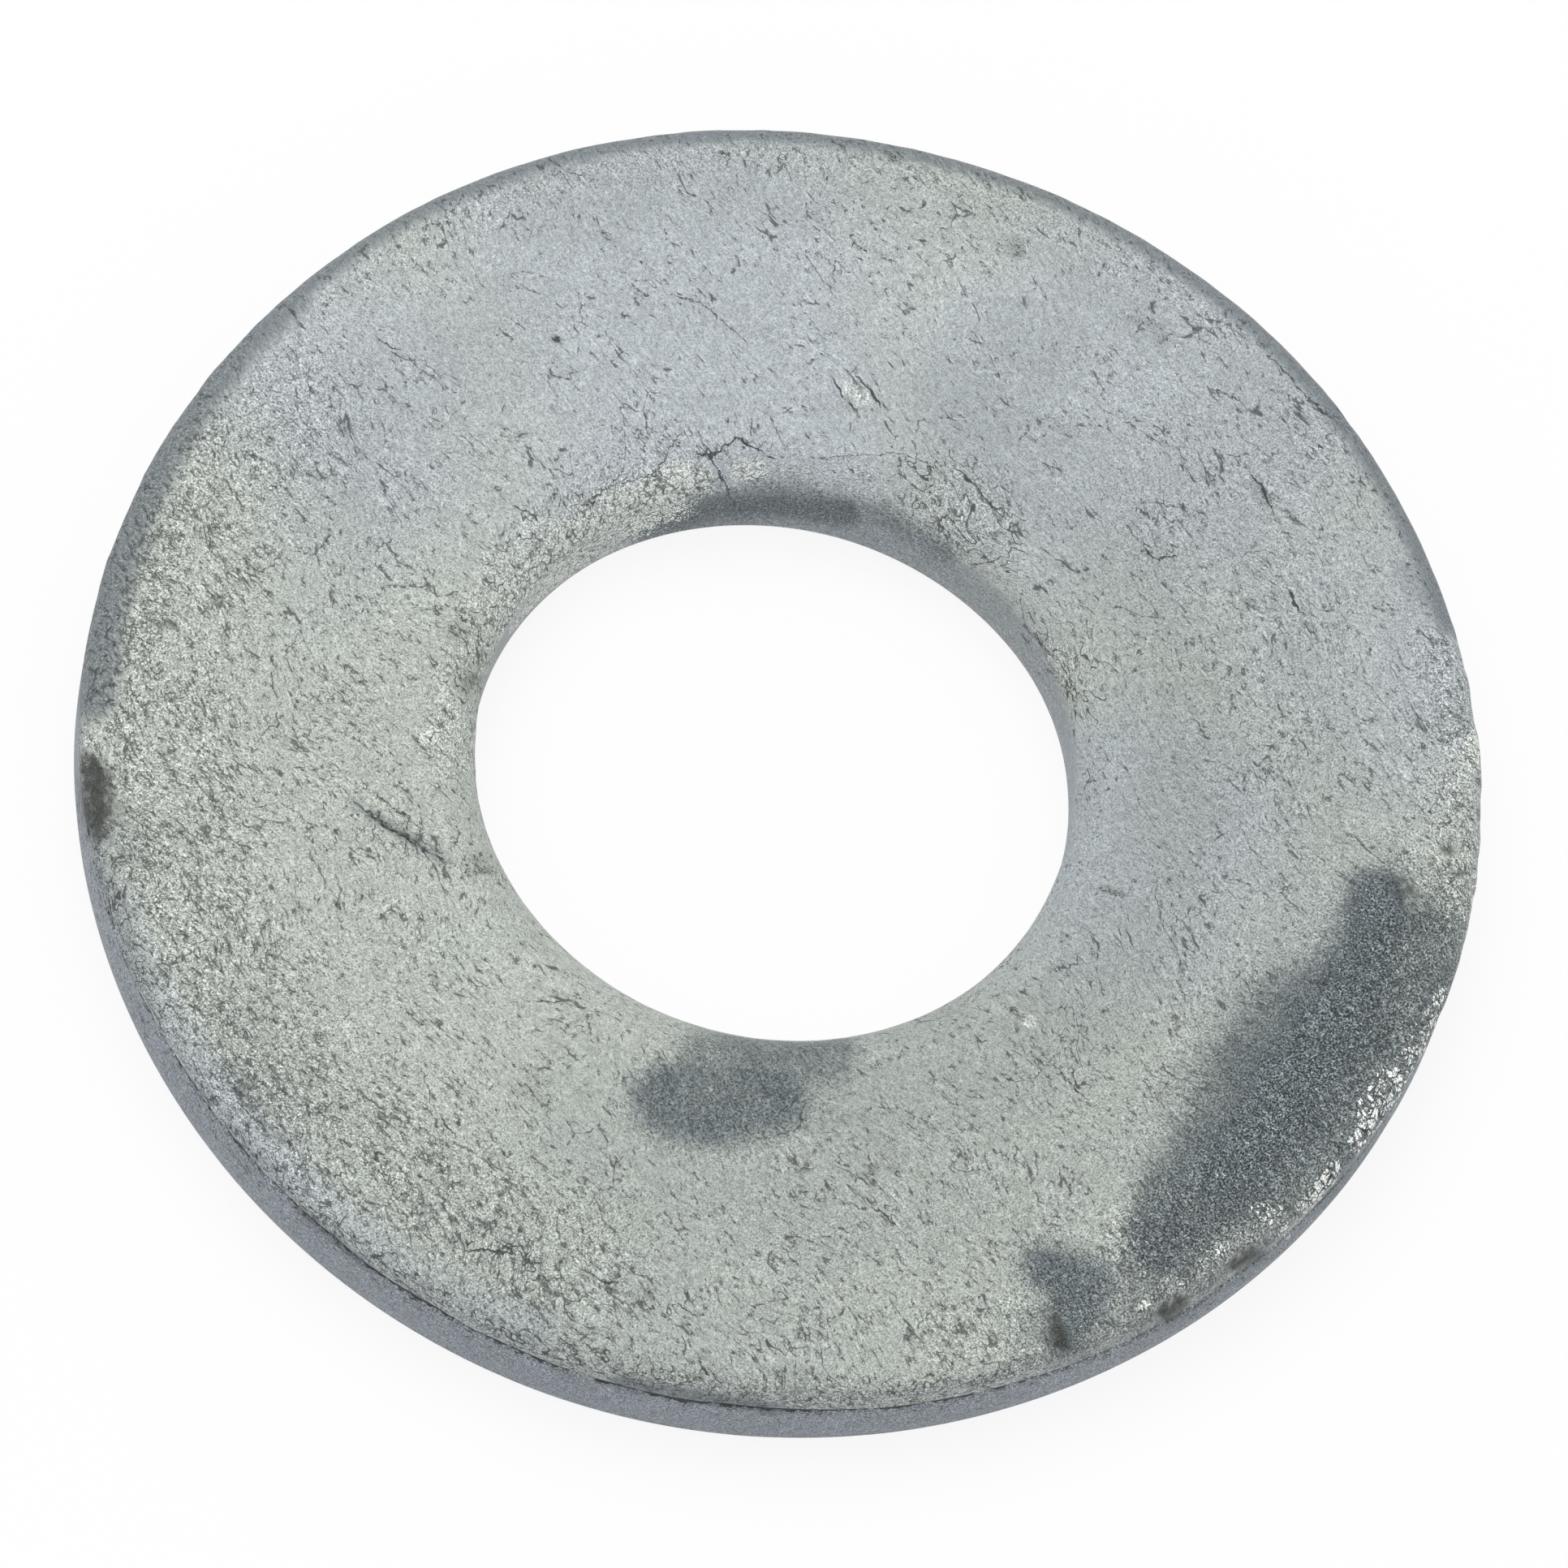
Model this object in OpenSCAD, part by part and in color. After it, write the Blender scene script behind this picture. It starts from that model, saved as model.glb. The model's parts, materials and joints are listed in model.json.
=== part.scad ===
// Flat washer, punched from steel plate and then dipped in molten zinc.
// It lies on its lower bearing face. The origin is in the plane of that face, on the
// axis of the rim, and Z runs up. All lengths are millimetres.

/* [Blank] */
// Diameter of the punched rim, before the zinc
outer_d = 25.4; // [20:0.1:64]
// Diameter of the punched bore, before the zinc
bore_d = 11.15; // [6:0.05:14]
// Thickness of the plate that the blank was punched from
plate_t = 2.11; // [1.6:0.01:6]
// Thickness of the zinc that the dip left on every surface
zinc_t = 0.055; // [0.02:0.005:0.12]
// How far the punch wandered off the axis of the rim
bore_shift = 0.12; // [0:0.01:0.4]
// Direction in which it wandered, in degrees
bore_shift_angle = 219; // [0:1:359]

/* [Punched edges] */
// How far out from the bore the punch drew the upper face down
bore_roll_w = 0.85; // [0.3:0.05:1.2]
// How far down the bore that roll reaches
bore_roll_h = 0.62; // [0.3:0.02:0.8]
// How far in from the rim the die drew the upper face down
rim_roll_w = 0.42; // [0.2:0.02:0.8]
// How far down the rim that roll reaches
rim_roll_h = 0.40; // [0.2:0.02:0.6]
// Height of the torn band at the foot of the bore and of the rim
tear_h = 0.50; // [0.3:0.05:0.6]
// How far the torn band leans back from the sheared wall at its foot
tear_w = 0.05; // [0.01:0.01:0.2]
// Radius of the zinc over both lower edges
foot_r = 0.14; // [0.05:0.01:0.25]
// How far below the upper face the zinc folds in, where it meets the sheared wall
fold_drop = 0.78; // [0.7:0.02:1]
// Depth of that fold
fold_depth = 0.05; // [0.02:0.01:0.1]
// Height of its mouth
fold_h = 0.09; // [0.05:0.01:0.2]

/* [Handling marks] */
// Length of the chip in the rolled edge of the rim, along the rim
chip_len = 1.5; // [0.5:0.1:3]
// Depth of that chip
chip_depth = 0.18; // [0.1:0.02:0.3]
// Direction of the chip from the axis, in degrees
chip_angle = 200; // [0:1:359]
// Length of the gouge in the upper face
gouge_len = 1.7; // [0.5:0.1:2.5]
// Width of the gouge at the face
gouge_w = 0.20; // [0.1:0.01:0.4]
// Depth of the gouge at its middle
gouge_depth = 0.07; // [0.03:0.01:0.12]
// Direction of the gouge from the axis, in degrees
gouge_angle = 211; // [0:1:359]
// Heading of the gouge along the face, in degrees
gouge_heading = -19; // [-90:1:90]

/* [Hidden] */
$fn = 180;

zinc_colour = [0.70, 0.72, 0.70];
rim_r = outer_d / 2 + zinc_t;
bore_r = bore_d / 2 - zinc_t;
washer_t = plate_t + 2 * zinc_t;

// The rolls leave the face at this slight angle, as the zinc bridges their start
roll_lift = 6;
// How far a roll's cut runs down past the roll's foot, where its arc is outside the wall
roll_skirt = 0.02;
// How far a cut runs on past the metal it cuts
over = 1;
// How far across the face the gouge lies, from 0 at the bore to 1 at the rim
gouge_across = 0.23;
// Pits in the upper face: direction in degrees, place across the face, width and depth
pits = [
    [131, 0.49, 0.20, 0.05],
    [ 81, 0.79, 0.50, 0.06],
    [101, 0.75, 0.45, 0.06],
    [251, 0.38, 0.75, 0.04],
];

// Radius of the arc that crosses a face at roll_lift, w in from a wall, and meets the
// wall h below the face
function roll_radius(w, h) =
    (w * w + h * h) / (2 * (h * cos(roll_lift) - w * sin(roll_lift)));

// Centre of that arc, in the corner's own frame: X from the wall into the metal, Y up
// from the face
function roll_centre(w, h) =
    let (r = roll_radius(w, h)) [w + r * sin(roll_lift), -r * cos(roll_lift)];

// Radius of the round tool that leaves a mark of this width and depth
function tool_radius(width, depth) = (width * width / 4 + depth * depth) / (2 * depth);

// Distance from the axis of a place across the face
function face_radius(across) = bore_r + across * (rim_r - bore_r);

// The corner that a roll takes off, in the corner's own frame
module rolled_corner(w, h) {
    difference() {
        translate([-over, -h - roll_skirt])
            square([w + over, h + roll_skirt + over]);
        translate(roll_centre(w, h))
            circle(roll_radius(w, h));
    }
}

// The corner that the tear and the zinc's radius take off at the foot of a wall: X runs
// from the wall into the metal, Y up from the lower face
module torn_corner() {
    lean = atan2(tear_w, tear_h);
    centre_x = (foot_r + (tear_h - foot_r) * sin(lean)) / cos(lean);
    difference() {
        polygon([
            [-over, -over],
            [-over, tear_h],
            [0, tear_h],
            [centre_x - foot_r * cos(lean), foot_r * (1 - sin(lean))],
            [centre_x, foot_r],
            [centre_x, -over],
        ]);
        translate([centre_x, foot_r])
            circle(foot_r);
    }
}

// The fold in the zinc, pointing in from the wall at X = 0
module fold() {
    polygon([[-fold_depth, 0], [fold_depth, fold_h], [fold_depth, -fold_h]]);
}

// The blank as the die left it, without its bore
module blank() {
    rotate_extrude()
        difference() {
            square([rim_r, washer_t]);
            translate([rim_r, washer_t])
                mirror([1, 0])
                    rolled_corner(rim_roll_w, rim_roll_h);
            translate([rim_r, washer_t - fold_drop])
                fold();
            translate([rim_r, 0])
                mirror([1, 0])
                    torn_corner();
        }
}

// What the punch took out: the bore with its roll, its sheared land and its torn foot
module punched_out() {
    translate([bore_shift * cos(bore_shift_angle), bore_shift * sin(bore_shift_angle), 0])
        rotate_extrude()
            union() {
                translate([0, -over])
                    square([bore_r, washer_t + 2 * over]);
                translate([bore_r, washer_t])
                    rolled_corner(bore_roll_w, bore_roll_h);
                translate([bore_r, 0])
                    torn_corner();
            }
}

// The chip knocked out of the rim's rolled edge
module chip() {
    tool_r = tool_radius(chip_len, chip_depth);
    roll_r = roll_radius(rim_roll_w, rim_roll_h);
    roll_mid = roll_centre(rim_roll_w, rim_roll_h) + roll_r * [-cos(45), sin(45)];
    reach = tool_r - chip_depth;
    rotate([0, 0, chip_angle])
        translate([rim_r - roll_mid.x + reach * cos(45), 0, washer_t + roll_mid.y + reach * sin(45)])
            sphere(tool_r);
}

// The gouge: a sharp-edged wheel sunk into the face leaves a groove that starts and
// ends shallow
module gouge() {
    wheel_r = tool_radius(gouge_len, gouge_depth);
    flank = 4;
    rotate([0, 0, gouge_angle])
        translate([face_radius(gouge_across), 0, washer_t + wheel_r - gouge_depth])
            rotate([90, 0, gouge_heading - gouge_angle])
                rotate_extrude()
                    polygon([
                        [wheel_r - flank * gouge_depth, -flank * gouge_w / 2],
                        [wheel_r, 0],
                        [wheel_r - flank * gouge_depth, flank * gouge_w / 2],
                    ]);
}

// One pit, given as in the list of pits
module pit(p) {
    tool_r = tool_radius(p[2], p[3]);
    rotate([0, 0, p[0]])
        translate([face_radius(p[1]), 0, washer_t + tool_r - p[3]])
            sphere(tool_r, $fn = 60);
}

module flat_washer() {
    color(zinc_colour)
        difference() {
            blank();
            punched_out();
            chip();
            gouge();
            for (p = pits)
                pit(p);
        }
}

flat_washer();
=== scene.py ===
"""Looks of a punched steel flat washer with a hot-dip zinc coat.

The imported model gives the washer's sizes. This script lays one finely divided skin over
the same section, gives it the swelling, lumps, dents and creases of the zinc, and dresses
it in a procedural finish. Lengths are millimetres until a mesh is made, then metres.
"""
import itertools
import json
import logging
import math
from dataclasses import dataclass
from enum import Enum

import bpy
import numpy as np
from mathutils import Matrix, Vector


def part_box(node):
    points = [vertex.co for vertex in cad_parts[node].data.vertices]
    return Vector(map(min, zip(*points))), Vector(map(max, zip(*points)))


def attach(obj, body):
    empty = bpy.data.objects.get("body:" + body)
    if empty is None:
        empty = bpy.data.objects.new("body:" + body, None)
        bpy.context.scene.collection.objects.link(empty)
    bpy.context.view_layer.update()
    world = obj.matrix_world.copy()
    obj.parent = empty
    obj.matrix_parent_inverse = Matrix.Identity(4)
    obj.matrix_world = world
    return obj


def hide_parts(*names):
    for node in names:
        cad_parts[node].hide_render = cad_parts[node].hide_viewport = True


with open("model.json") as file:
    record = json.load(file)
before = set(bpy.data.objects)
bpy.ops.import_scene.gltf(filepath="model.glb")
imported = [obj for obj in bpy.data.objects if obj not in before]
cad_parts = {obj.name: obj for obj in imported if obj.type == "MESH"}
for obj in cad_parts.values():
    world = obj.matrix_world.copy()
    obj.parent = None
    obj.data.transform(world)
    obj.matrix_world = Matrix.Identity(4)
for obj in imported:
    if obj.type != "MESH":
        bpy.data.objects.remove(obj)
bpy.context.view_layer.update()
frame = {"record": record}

NODE = "flat_washer"
BODY = "root"
MM = 0.001
# Angle of the camera's axis from the vertical, in degrees
CAMERA_TILT = 26.23
# Radii at which marks on the two walls are placed
BORE_WALL = 5.5
RIM_WALL = 12.75
# Degrees from one point of a round band to the next
BAND_STEP = 6.0
# How far a crack's width falls off to either side, and how gradually
CRACK_REACH = 0.22
CRACK_EDGE = 0.4
LOG = logging.getLogger("washer")

Colour = tuple[float, float, float]
Point = tuple[float, float]


def linear(red: int, green: int, blue: int) -> Colour:
    """Turns a colour as it is seen on screen into linear light.

    Args:
        red: red as on screen, from 0 to 255.
        green: green as on screen.
        blue: blue as on screen.

    Returns:
        The three channels from 0 to 1.
    """
    return tuple(
        value / 12.92 if value <= 0.04045 else ((value + 0.055) / 1.055) ** 2.4
        for value in (red / 255, green / 255, blue / 255)
    )


def smooth_step(low: float, high: float, value: np.ndarray) -> np.ndarray:
    """Rises from 0 at low to 1 at high along a cubic that is level at both ends."""
    t = np.clip((value - low) / (high - low), 0.0, 1.0)
    return t * t * (3.0 - 2.0 * t)


def lattice_hash(cells: np.ndarray, seed: int) -> np.ndarray:
    """A number from 0 to 1 for each whole-number cell, the same on every run.

    The coordinates and the seed are each multiplied by a large prime and added, and the
    sum's bits are mixed by shifts and multiplications.

    Args:
        cells: whole numbers, with the three coordinates on the last axis.
        seed: picks one of many unrelated fields.

    Returns:
        One number for each cell.
    """
    mixed = (cells * np.array([73856093, 19349663, 83492791])).sum(axis=-1) + seed * 2654435761
    mixed = mixed.astype(np.uint64)
    for shift, factor in ((33, 0xFF51AFD7ED558CCD), (29, 0xC4CEB9FE1A85EC53)):
        mixed = (mixed ^ (mixed >> np.uint64(shift))) * np.uint64(factor)
    return (mixed >> np.uint64(40)).astype(float) / float(1 << 24)


def soft_noise(points: np.ndarray, pitch: float, seed: int) -> np.ndarray:
    """Smooth noise with features one pitch across.

    Random heights at the corners of a cubic lattice, blended inside each cell by the
    product of three quintic fades.

    Args:
        points: places, with X, Y and Z on the last axis.
        pitch: spacing of the lattice.
        seed: picks one of many unrelated fields.

    Returns:
        A value from about -1 to 1 at each place.
    """
    place = points / pitch
    cell = np.floor(place).astype(np.int64)
    t = place - cell
    fade = t * t * t * (t * (t * 6.0 - 15.0) + 10.0)
    total = np.zeros(points.shape[:-1])
    for corner in itertools.product((0, 1), repeat=3):
        share = np.where(np.array(corner) == 1, fade, 1.0 - fade).prod(axis=-1)
        total += share * lattice_hash(cell + np.array(corner), seed)
    return 2.0 * total - 1.0


class MarkKind(Enum):
    """What a placed mark does to the skin."""

    STAIN = "stain"
    BLUE = "blue"
    SHADE = "shade"
    DIRT_AND_SHADE = "dirt"
    CHALK_AND_HIGHLIGHTS = "chalk"
    BLISTER_AND_HIGHLIGHT = "blister"
    ROUGH = "rough"
    RIM_GRIME_AND_SHADE = "soot"
    WRINKLE = "wrinkle"
    LUMP = "lump"
    CRACK = "crack"


@dataclass(frozen=True)
class Mark:
    """One mark seen on the upper side, laid along a path.

    Attributes:
        path: points along it, each its X and Y and the mark's reach to either side.
        amount: strength from 0 to 1, or height above the face for a lump, which is
            negative for a groove.
        edge: how gradual its edge is, from 0, sharp, to 1.
    """

    path: tuple[tuple[float, float, float], ...]
    amount: float
    edge: float

    def nearness(self, x: np.ndarray, y: np.ndarray) -> tuple[np.ndarray, np.ndarray]:
        """How far each point lies from the path.

        The distance to each leg is that to the point's foot on it, held between the
        leg's ends, and the nearest leg counts.

        Args:
            x: X of each point.
            y: Y of each point.

        Returns:
            The distance as a share of the mark's reach there, and the distance in
            millimetres with a sign that says on which side of the path the point lies.
        """
        share = np.full(x.shape, np.inf)
        signed = np.full(x.shape, np.inf)
        legs = list(zip(self.path, self.path[1:])) or [(self.path[0], self.path[0])]
        for (x0, y0, r0), (x1, y1, r1) in legs:
            dx, dy = x1 - x0, y1 - y0
            along = ((x - x0) * dx + (y - y0) * dy) / max(dx * dx + dy * dy, 1e-9)
            along = np.clip(along, 0.0, 1.0)
            away_x, away_y = x - x0 - along * dx, y - y0 - along * dy
            distance = np.hypot(away_x, away_y)
            side = np.where(dx * away_y - dy * away_x < 0.0, -1.0, 1.0)
            signed = np.where(distance < np.abs(signed), side * distance, signed)
            share = np.minimum(share, distance / (r0 + along * (r1 - r0)))
        return share, signed

    def cover(self, x: np.ndarray, y: np.ndarray) -> np.ndarray:
        """The mark's amount at each point, fading out over its edge."""
        share, _ = self.nearness(x, y)
        return self.amount * (1.0 - smooth_step(1.0 - self.edge, 1.0 + self.edge, share))


@dataclass(frozen=True)
class Waviness:
    """A value that swings as it goes round the washer.

    Attributes:
        waves: for each wave its number of crests round the washer, its height and the
            direction of one crest in degrees.
    """

    waves: tuple[tuple[int, float, float], ...]

    def at(self, angle: np.ndarray) -> np.ndarray:
        """The sum of height times cos(crests times (angle - crest direction)).

        Args:
            angle: direction of each point from the axis, in radians.

        Returns:
            The value at each point.
        """
        return sum(
            height * np.cos(crests * (angle - math.radians(crest)))
            for crests, height, crest in self.waves
        )


@dataclass(frozen=True)
class RolledCorner:
    """The upper corner of a wall that the punch drew down into an arc.

    Attributes:
        width: reach of the arc from the wall into the face.
        height: reach of the arc down the wall.
        lift: angle at which the arc leaves the face, in degrees.
    """

    width: float
    height: float
    lift: float = 6.0

    def arc(self, count: int) -> tuple[np.ndarray, np.ndarray]:
        """Points from the wall up to the face.

        The radius is (w² + h²) / (2 (h cos lift - w sin lift)), and the centre lies
        w + radius sin lift in from the wall and radius cos lift below the face.

        Args:
            count: number of points.

        Returns:
            Their offsets from the wall and their heights above the face.
        """
        sin, cos = math.sin(math.radians(self.lift)), math.cos(math.radians(self.lift))
        w, h = self.width, self.height
        radius = (w * w + h * h) / (2.0 * (h * cos - w * sin))
        centre_x, centre_y = w + radius * sin, -radius * cos
        start = math.atan2(-h - centre_y, -centre_x) % math.tau
        turn = np.linspace(start, math.radians(90.0 + self.lift), count)
        return centre_x + radius * np.cos(turn), centre_y + radius * np.sin(turn)


@dataclass(frozen=True)
class TornFoot:
    """The torn band at the foot of a wall, and the zinc's radius under it.

    Attributes:
        lean: how far the band leans back from the wall at its foot.
        height: height of the band's head above the lower face.
        radius: radius of the zinc over the edge.
    """

    lean: float
    height: float
    radius: float

    def profile(self, count: int) -> tuple[np.ndarray, np.ndarray]:
        """Points from the lower face up to the band's head.

        An arc from straight down to square off the band, then the band's straight line.

        Args:
            count: number of points on the arc.

        Returns:
            Their offsets from the wall and their heights above the lower face.
        """
        angle = math.atan2(self.lean, self.height)
        middle = self.radius + (self.height - self.radius) * math.sin(angle)
        turn = np.linspace(1.5 * math.pi, math.pi + angle, count)
        offsets = middle / math.cos(angle) + self.radius * np.cos(turn)
        heights = self.radius + self.radius * np.sin(turn)
        return (
            np.append(offsets, [offsets[-1] / 2.0, 0.0]),
            np.append(heights, [(heights[-1] + self.height) / 2.0, self.height]),
        )


@dataclass(frozen=True)
class Dent:
    """A round hollow that a blunt tool left in the upper face.

    Attributes:
        direction: where it lies, in degrees from the axis.
        across: its place across the face, from 0 at the bore to 1 at the rim.
        width: its width at the face.
        depth: its depth.
    """

    direction: float
    across: float
    width: float
    depth: float


DENTS = (
    Dent(131, 0.49, 0.20, 0.05),
    Dent(81, 0.79, 0.50, 0.06),
    Dent(101, 0.75, 0.45, 0.06),
    Dent(251, 0.38, 0.75, 0.04),
)


def on_wall(radius: float, direction: float, depth: float) -> Point:
    """A place on a wall, moved into the upper face's plane as the camera sees it.

    Args:
        radius: radius of the wall.
        direction: direction from the axis, in degrees.
        depth: how far the place lies below the upper face.

    Returns:
        The X and Y at which the camera sees it in that plane.
    """
    turn = math.radians(direction)
    lift = math.tan(math.radians(CAMERA_TILT)) * depth
    return radius * math.cos(turn), radius * math.sin(turn) - lift


def down_bore(direction: float, depth: float) -> Point:
    """A place on the bore's wall."""
    return on_wall(BORE_WALL, direction, depth)


def down_rim(direction: float, depth: float) -> Point:
    """A place on the rim's wall."""
    return on_wall(RIM_WALL, direction, depth)


def spot(x: float, y: float, reach: float, amount: float, edge: float = 0.9) -> Mark:
    """A round mark."""
    return Mark(((x, y, reach),), amount, edge)


def streak(reach: float, amount: float, edge: float, *points: Point) -> Mark:
    """A mark of one reach along a line of points."""
    return Mark(tuple((x, y, reach) for x, y in points), amount, edge)


def band(
    radius: float, start: float, stop: float, reach: float, amount: float, edge: float = 0.9
) -> Mark:
    """A mark that follows a circle round the axis.

    Args:
        radius: radius of the circle.
        start: direction in which the mark starts, in degrees.
        stop: direction in which it stops.
        reach: how far it reaches to either side of the circle.
        amount: its strength.
        edge: how gradual its edge is.

    Returns:
        The mark.
    """
    count = max(2, round(abs(stop - start) / BAND_STEP) + 1)
    turns = np.radians(np.linspace(start, stop, count))
    points = [(radius * math.cos(turn), radius * math.sin(turn)) for turn in turns]
    return streak(reach, amount, edge, *points)


def crack(width: float, *points: Point) -> Mark:
    """A hairline crack, of full width at 1, along a line of points."""
    return streak(CRACK_REACH, width, CRACK_EDGE, *points)


# The marks lie where the photograph shows them. A spot gives X, Y, reach and amount, a
# streak reach, amount, edge and points, and a band radius, two directions in degrees,
# reach and amount.
# Bare, dark patches of alloy, and darker streaks down the bore's far wall and on its far lip
STAINS = (
    Mark(((11.1, 0.1, 0.7), (11.2, -0.7, 0.9), (11.2, -1.4, 1.05), (11.0, -2.4, 1.4),
        (10.6, -3.4, 1.75), (10.3, -4.6, 1.7), (9.9, -5.6, 1.5), (9.3, -6.6, 1.2), (8.9, -7.6, 0.9)),
        0.80, 0.55),
    Mark(((11.1, 0.2, 0.5), (11.2, -1.0, 0.6), (10.9, -2.3, 0.8), (10.4, -3.6, 1.0), (10.1, -4.8, 0.9),
        (9.6, -6.1, 0.65)), 1.15, 0.9),
    streak(0.8, 0.42, 0.9, (11.5, 0.5), (12.2, 0.2)),
    streak(0.95, 0.72, 0.7, (12.0, -0.4), (12.2, -1.6), (11.9, -3.6), (11.2, -5.5)),
    streak(0.9, 0.55, 0.8, (11.2, -5.5), (9.8, -7.4), (8.4, -8.9), (7.3, -9.8)),
    Mark(((7.0, -8.8, 0.6), (7.7, -8.9, 0.75), (7.5, -9.9, 0.55)), 0.85, 0.8),
    Mark(((-0.3, -7.45, 0.85), (0.5, -7.2, 0.98), (1.2, -6.85, 0.95)), 0.78, 0.55),
    streak(0.75, 0.62, 0.6, (0.15, -6.5), (1.1, -6.1), (2.0, -5.75)),
    # Darker down the middle of the bore's far wall
    streak(0.30, 0.85, 0.9, down_bore(90, 1.1), down_bore(103, 1.2), down_bore(116, 1.25),
        down_bore(130, 1.35)),
    streak(0.34, 0.50, 0.9, down_bore(70, 1.0), down_bore(84, 0.8), down_bore(100, 0.7),
        down_bore(108, 0.7)),
    streak(0.30, 0.35, 0.9, down_rim(-46, 0.9), down_rim(-36, 1.0), down_rim(-22, 0.9)),
    # Darker on the bore's far lip
    streak(0.30, 0.35, 0.8, (-1.6, 4.85), (-0.6, 5.0), (0.5, 5.1)),
)
# Where the ground leans to blue
BLUES = (
    spot(-3.5, 7.6, 5.0, 0.9, 0.8),
    spot(5.0, 8.6, 4.3, 0.9, 0.8),
    spot(-8.5, 4.8, 3.0, 0.8),
    spot(6.5, 0.0, 2.8, 0.9),
    spot(10.0, 5.5, 3.0, 0.8),
    spot(2.3, 8.3, 2.0, 1.2),
    band(12.6, 210, 262, 0.42, 0.6),
)
# Dull bluish clouds, and painted shade in the gouge and by the chip
SHADES = (
    spot(2.6, 8.7, 1.3, 0.36),
    spot(1.8, 7.6, 1.2, 0.5),
    band(7.3, -68, 44, 1.4, 0.54),
    band(7.4, 44, 76, 1.4, 0.38),
    band(9.6, -74, 52, 1.5, 0.36),
    band(8.6, 262, 292, 1.9, 0.38),
    band(11.4, 225, 300, 1.0, 0.28),
    band(11.6, 20, 125, 0.9, 0.24),
    band(9.5, 138, 165, 1.2, 0.20),
    streak(0.5, 0.45, 0.9, (0.6, -5.8), (2.6, -5.3), (4.2, -4.2)),
    # Painted shade in the gouge
    streak(0.12, 0.8, 0.9, (-7.3, -3.3), (-6.25, -3.68), (-5.45, -3.97)),
    # Painted shade by the chip
    spot(-11.5, -5.5, 0.7, 0.8, 0.8),
    band(12.5, 250, 285, 0.5, 0.4, 0.8),
    # Painted shade down the rim's wall beside the chip
    streak(0.35, 0.9, 0.9, down_rim(-157, 0.4), down_rim(-150, 0.45), down_rim(-143, 0.5)),
)
# Dirt in hollows, and painted shade in the dents and along the gouge
DIRT_AND_SHADE = (
    Mark(((-12.05, -3.85, 0.18), (-11.9, -4.3, 0.34), (-11.75, -4.7, 0.38), (-11.6, -5.15, 0.24)),
        1.0, 0.9),
    spot(-5.9, -0.4, 0.28, 0.45),
    spot(-6.3, 0.5, 0.3, 0.35),
    spot(12.1, 1.4, 0.22, 0.5),
    spot(11.5, 0.35, 0.3, 0.5),
    streak(0.15, 0.85, 0.9, (10.45, -7.42), (10.2, -7.72)),
    streak(0.16, 0.85, 0.9, (9.42, -8.75), (9.15, -9.0)),
    spot(7.4, -10.0, 0.25, 0.6),
    # Painted shade in and beside the dent at 81 degrees
    spot(1.75, 11.1, 0.16, 0.6, 0.8),
    streak(0.05, 0.5, 0.8, (1.55, 11.1), (1.1, 11.15)),
    # Painted shade in the dent at 131 degrees
    spot(-5.97, 6.85, 0.09, 1.0, 0.5),
    streak(0.08, 0.6, 0.8, (6.2, -1.15), (6.6, -1.15)),
    # Painted shade in the dent at 251 degrees
    streak(0.10, 0.40, 0.9, (-3.1, -8.05), (-2.5, -7.95)),
    streak(0.07, 0.45, 0.9, (-1.0, 10.3), (-0.4, 10.2)),
    streak(0.07, 0.45, 0.9, (7.0, 7.65), (7.4, 7.35)),
    streak(0.06, 0.45, 0.9, (6.05, 7.6), (6.35, 7.4)),
    streak(0.06, 0.45, 0.9, (3.2, 7.8), (3.6, 7.6)),
    streak(0.06, 0.45, 0.9, (-5.7, 9.2), (-5.3, 9.0)),
    spot(0.45, 10.15, 0.06, 0.6, 0.7),
    # Painted shade in the dent at 251 degrees
    streak(0.22, 0.32, 0.9, (-2.85, -7.8), (-2.55, -8.1)),
    spot(-0.51, -11.36, 0.08, 0.8, 0.7),
    # Painted shade along the gouge
    streak(0.07, 0.75, 0.9, (-6.9, -3.46), (-6.5, -3.62), (-6.2, -3.7), (-5.9, -3.86)),
    spot(-4.75, -3.9, 0.22, 0.6),
    spot(0.14, -11.25, 0.10, 0.7, 0.7),
    spot(2.29, -8.03, 0.08, 0.8, 0.7),
    spot(2.48, -6.86, 0.07, 0.6, 0.7),
    spot(6.52, -5.74, 0.06, 0.7, 0.7),
    streak(0.10, 0.45, 0.9, (3.36, -7.72), (3.75, -7.56)),
    streak(0.13, 0.8, 0.8, (7.3, -9.7), (7.55, -10.15)),
    streak(0.18, 0.4, 0.9, (4.2, 10.35), (4.7, 10.1)),
    spot(3.42, 7.71, 0.12, 0.5, 0.8),
    streak(0.10, 0.5, 0.8, (7.1, 7.7), (7.4, 7.35)),
    spot(-4.6, 3.75, 0.12, 0.55, 0.8),
    streak(0.14, 0.38, 0.9, (-8.1, -9.1), (-7.7, -9.55), (-7.3, -9.8), (-6.9, -10.2)),
    spot(2.8, 11.0, 0.07, 0.6, 0.7),
    spot(7.4, 5.0, 0.06, 0.6, 0.7),
    spot(7.2, 3.9, 0.06, 0.6, 0.7),
    # Painted shade at the edge of the dent at 101 degrees
    spot(-1.95, 10.55, 0.09, 0.45, 0.7),
)
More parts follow.
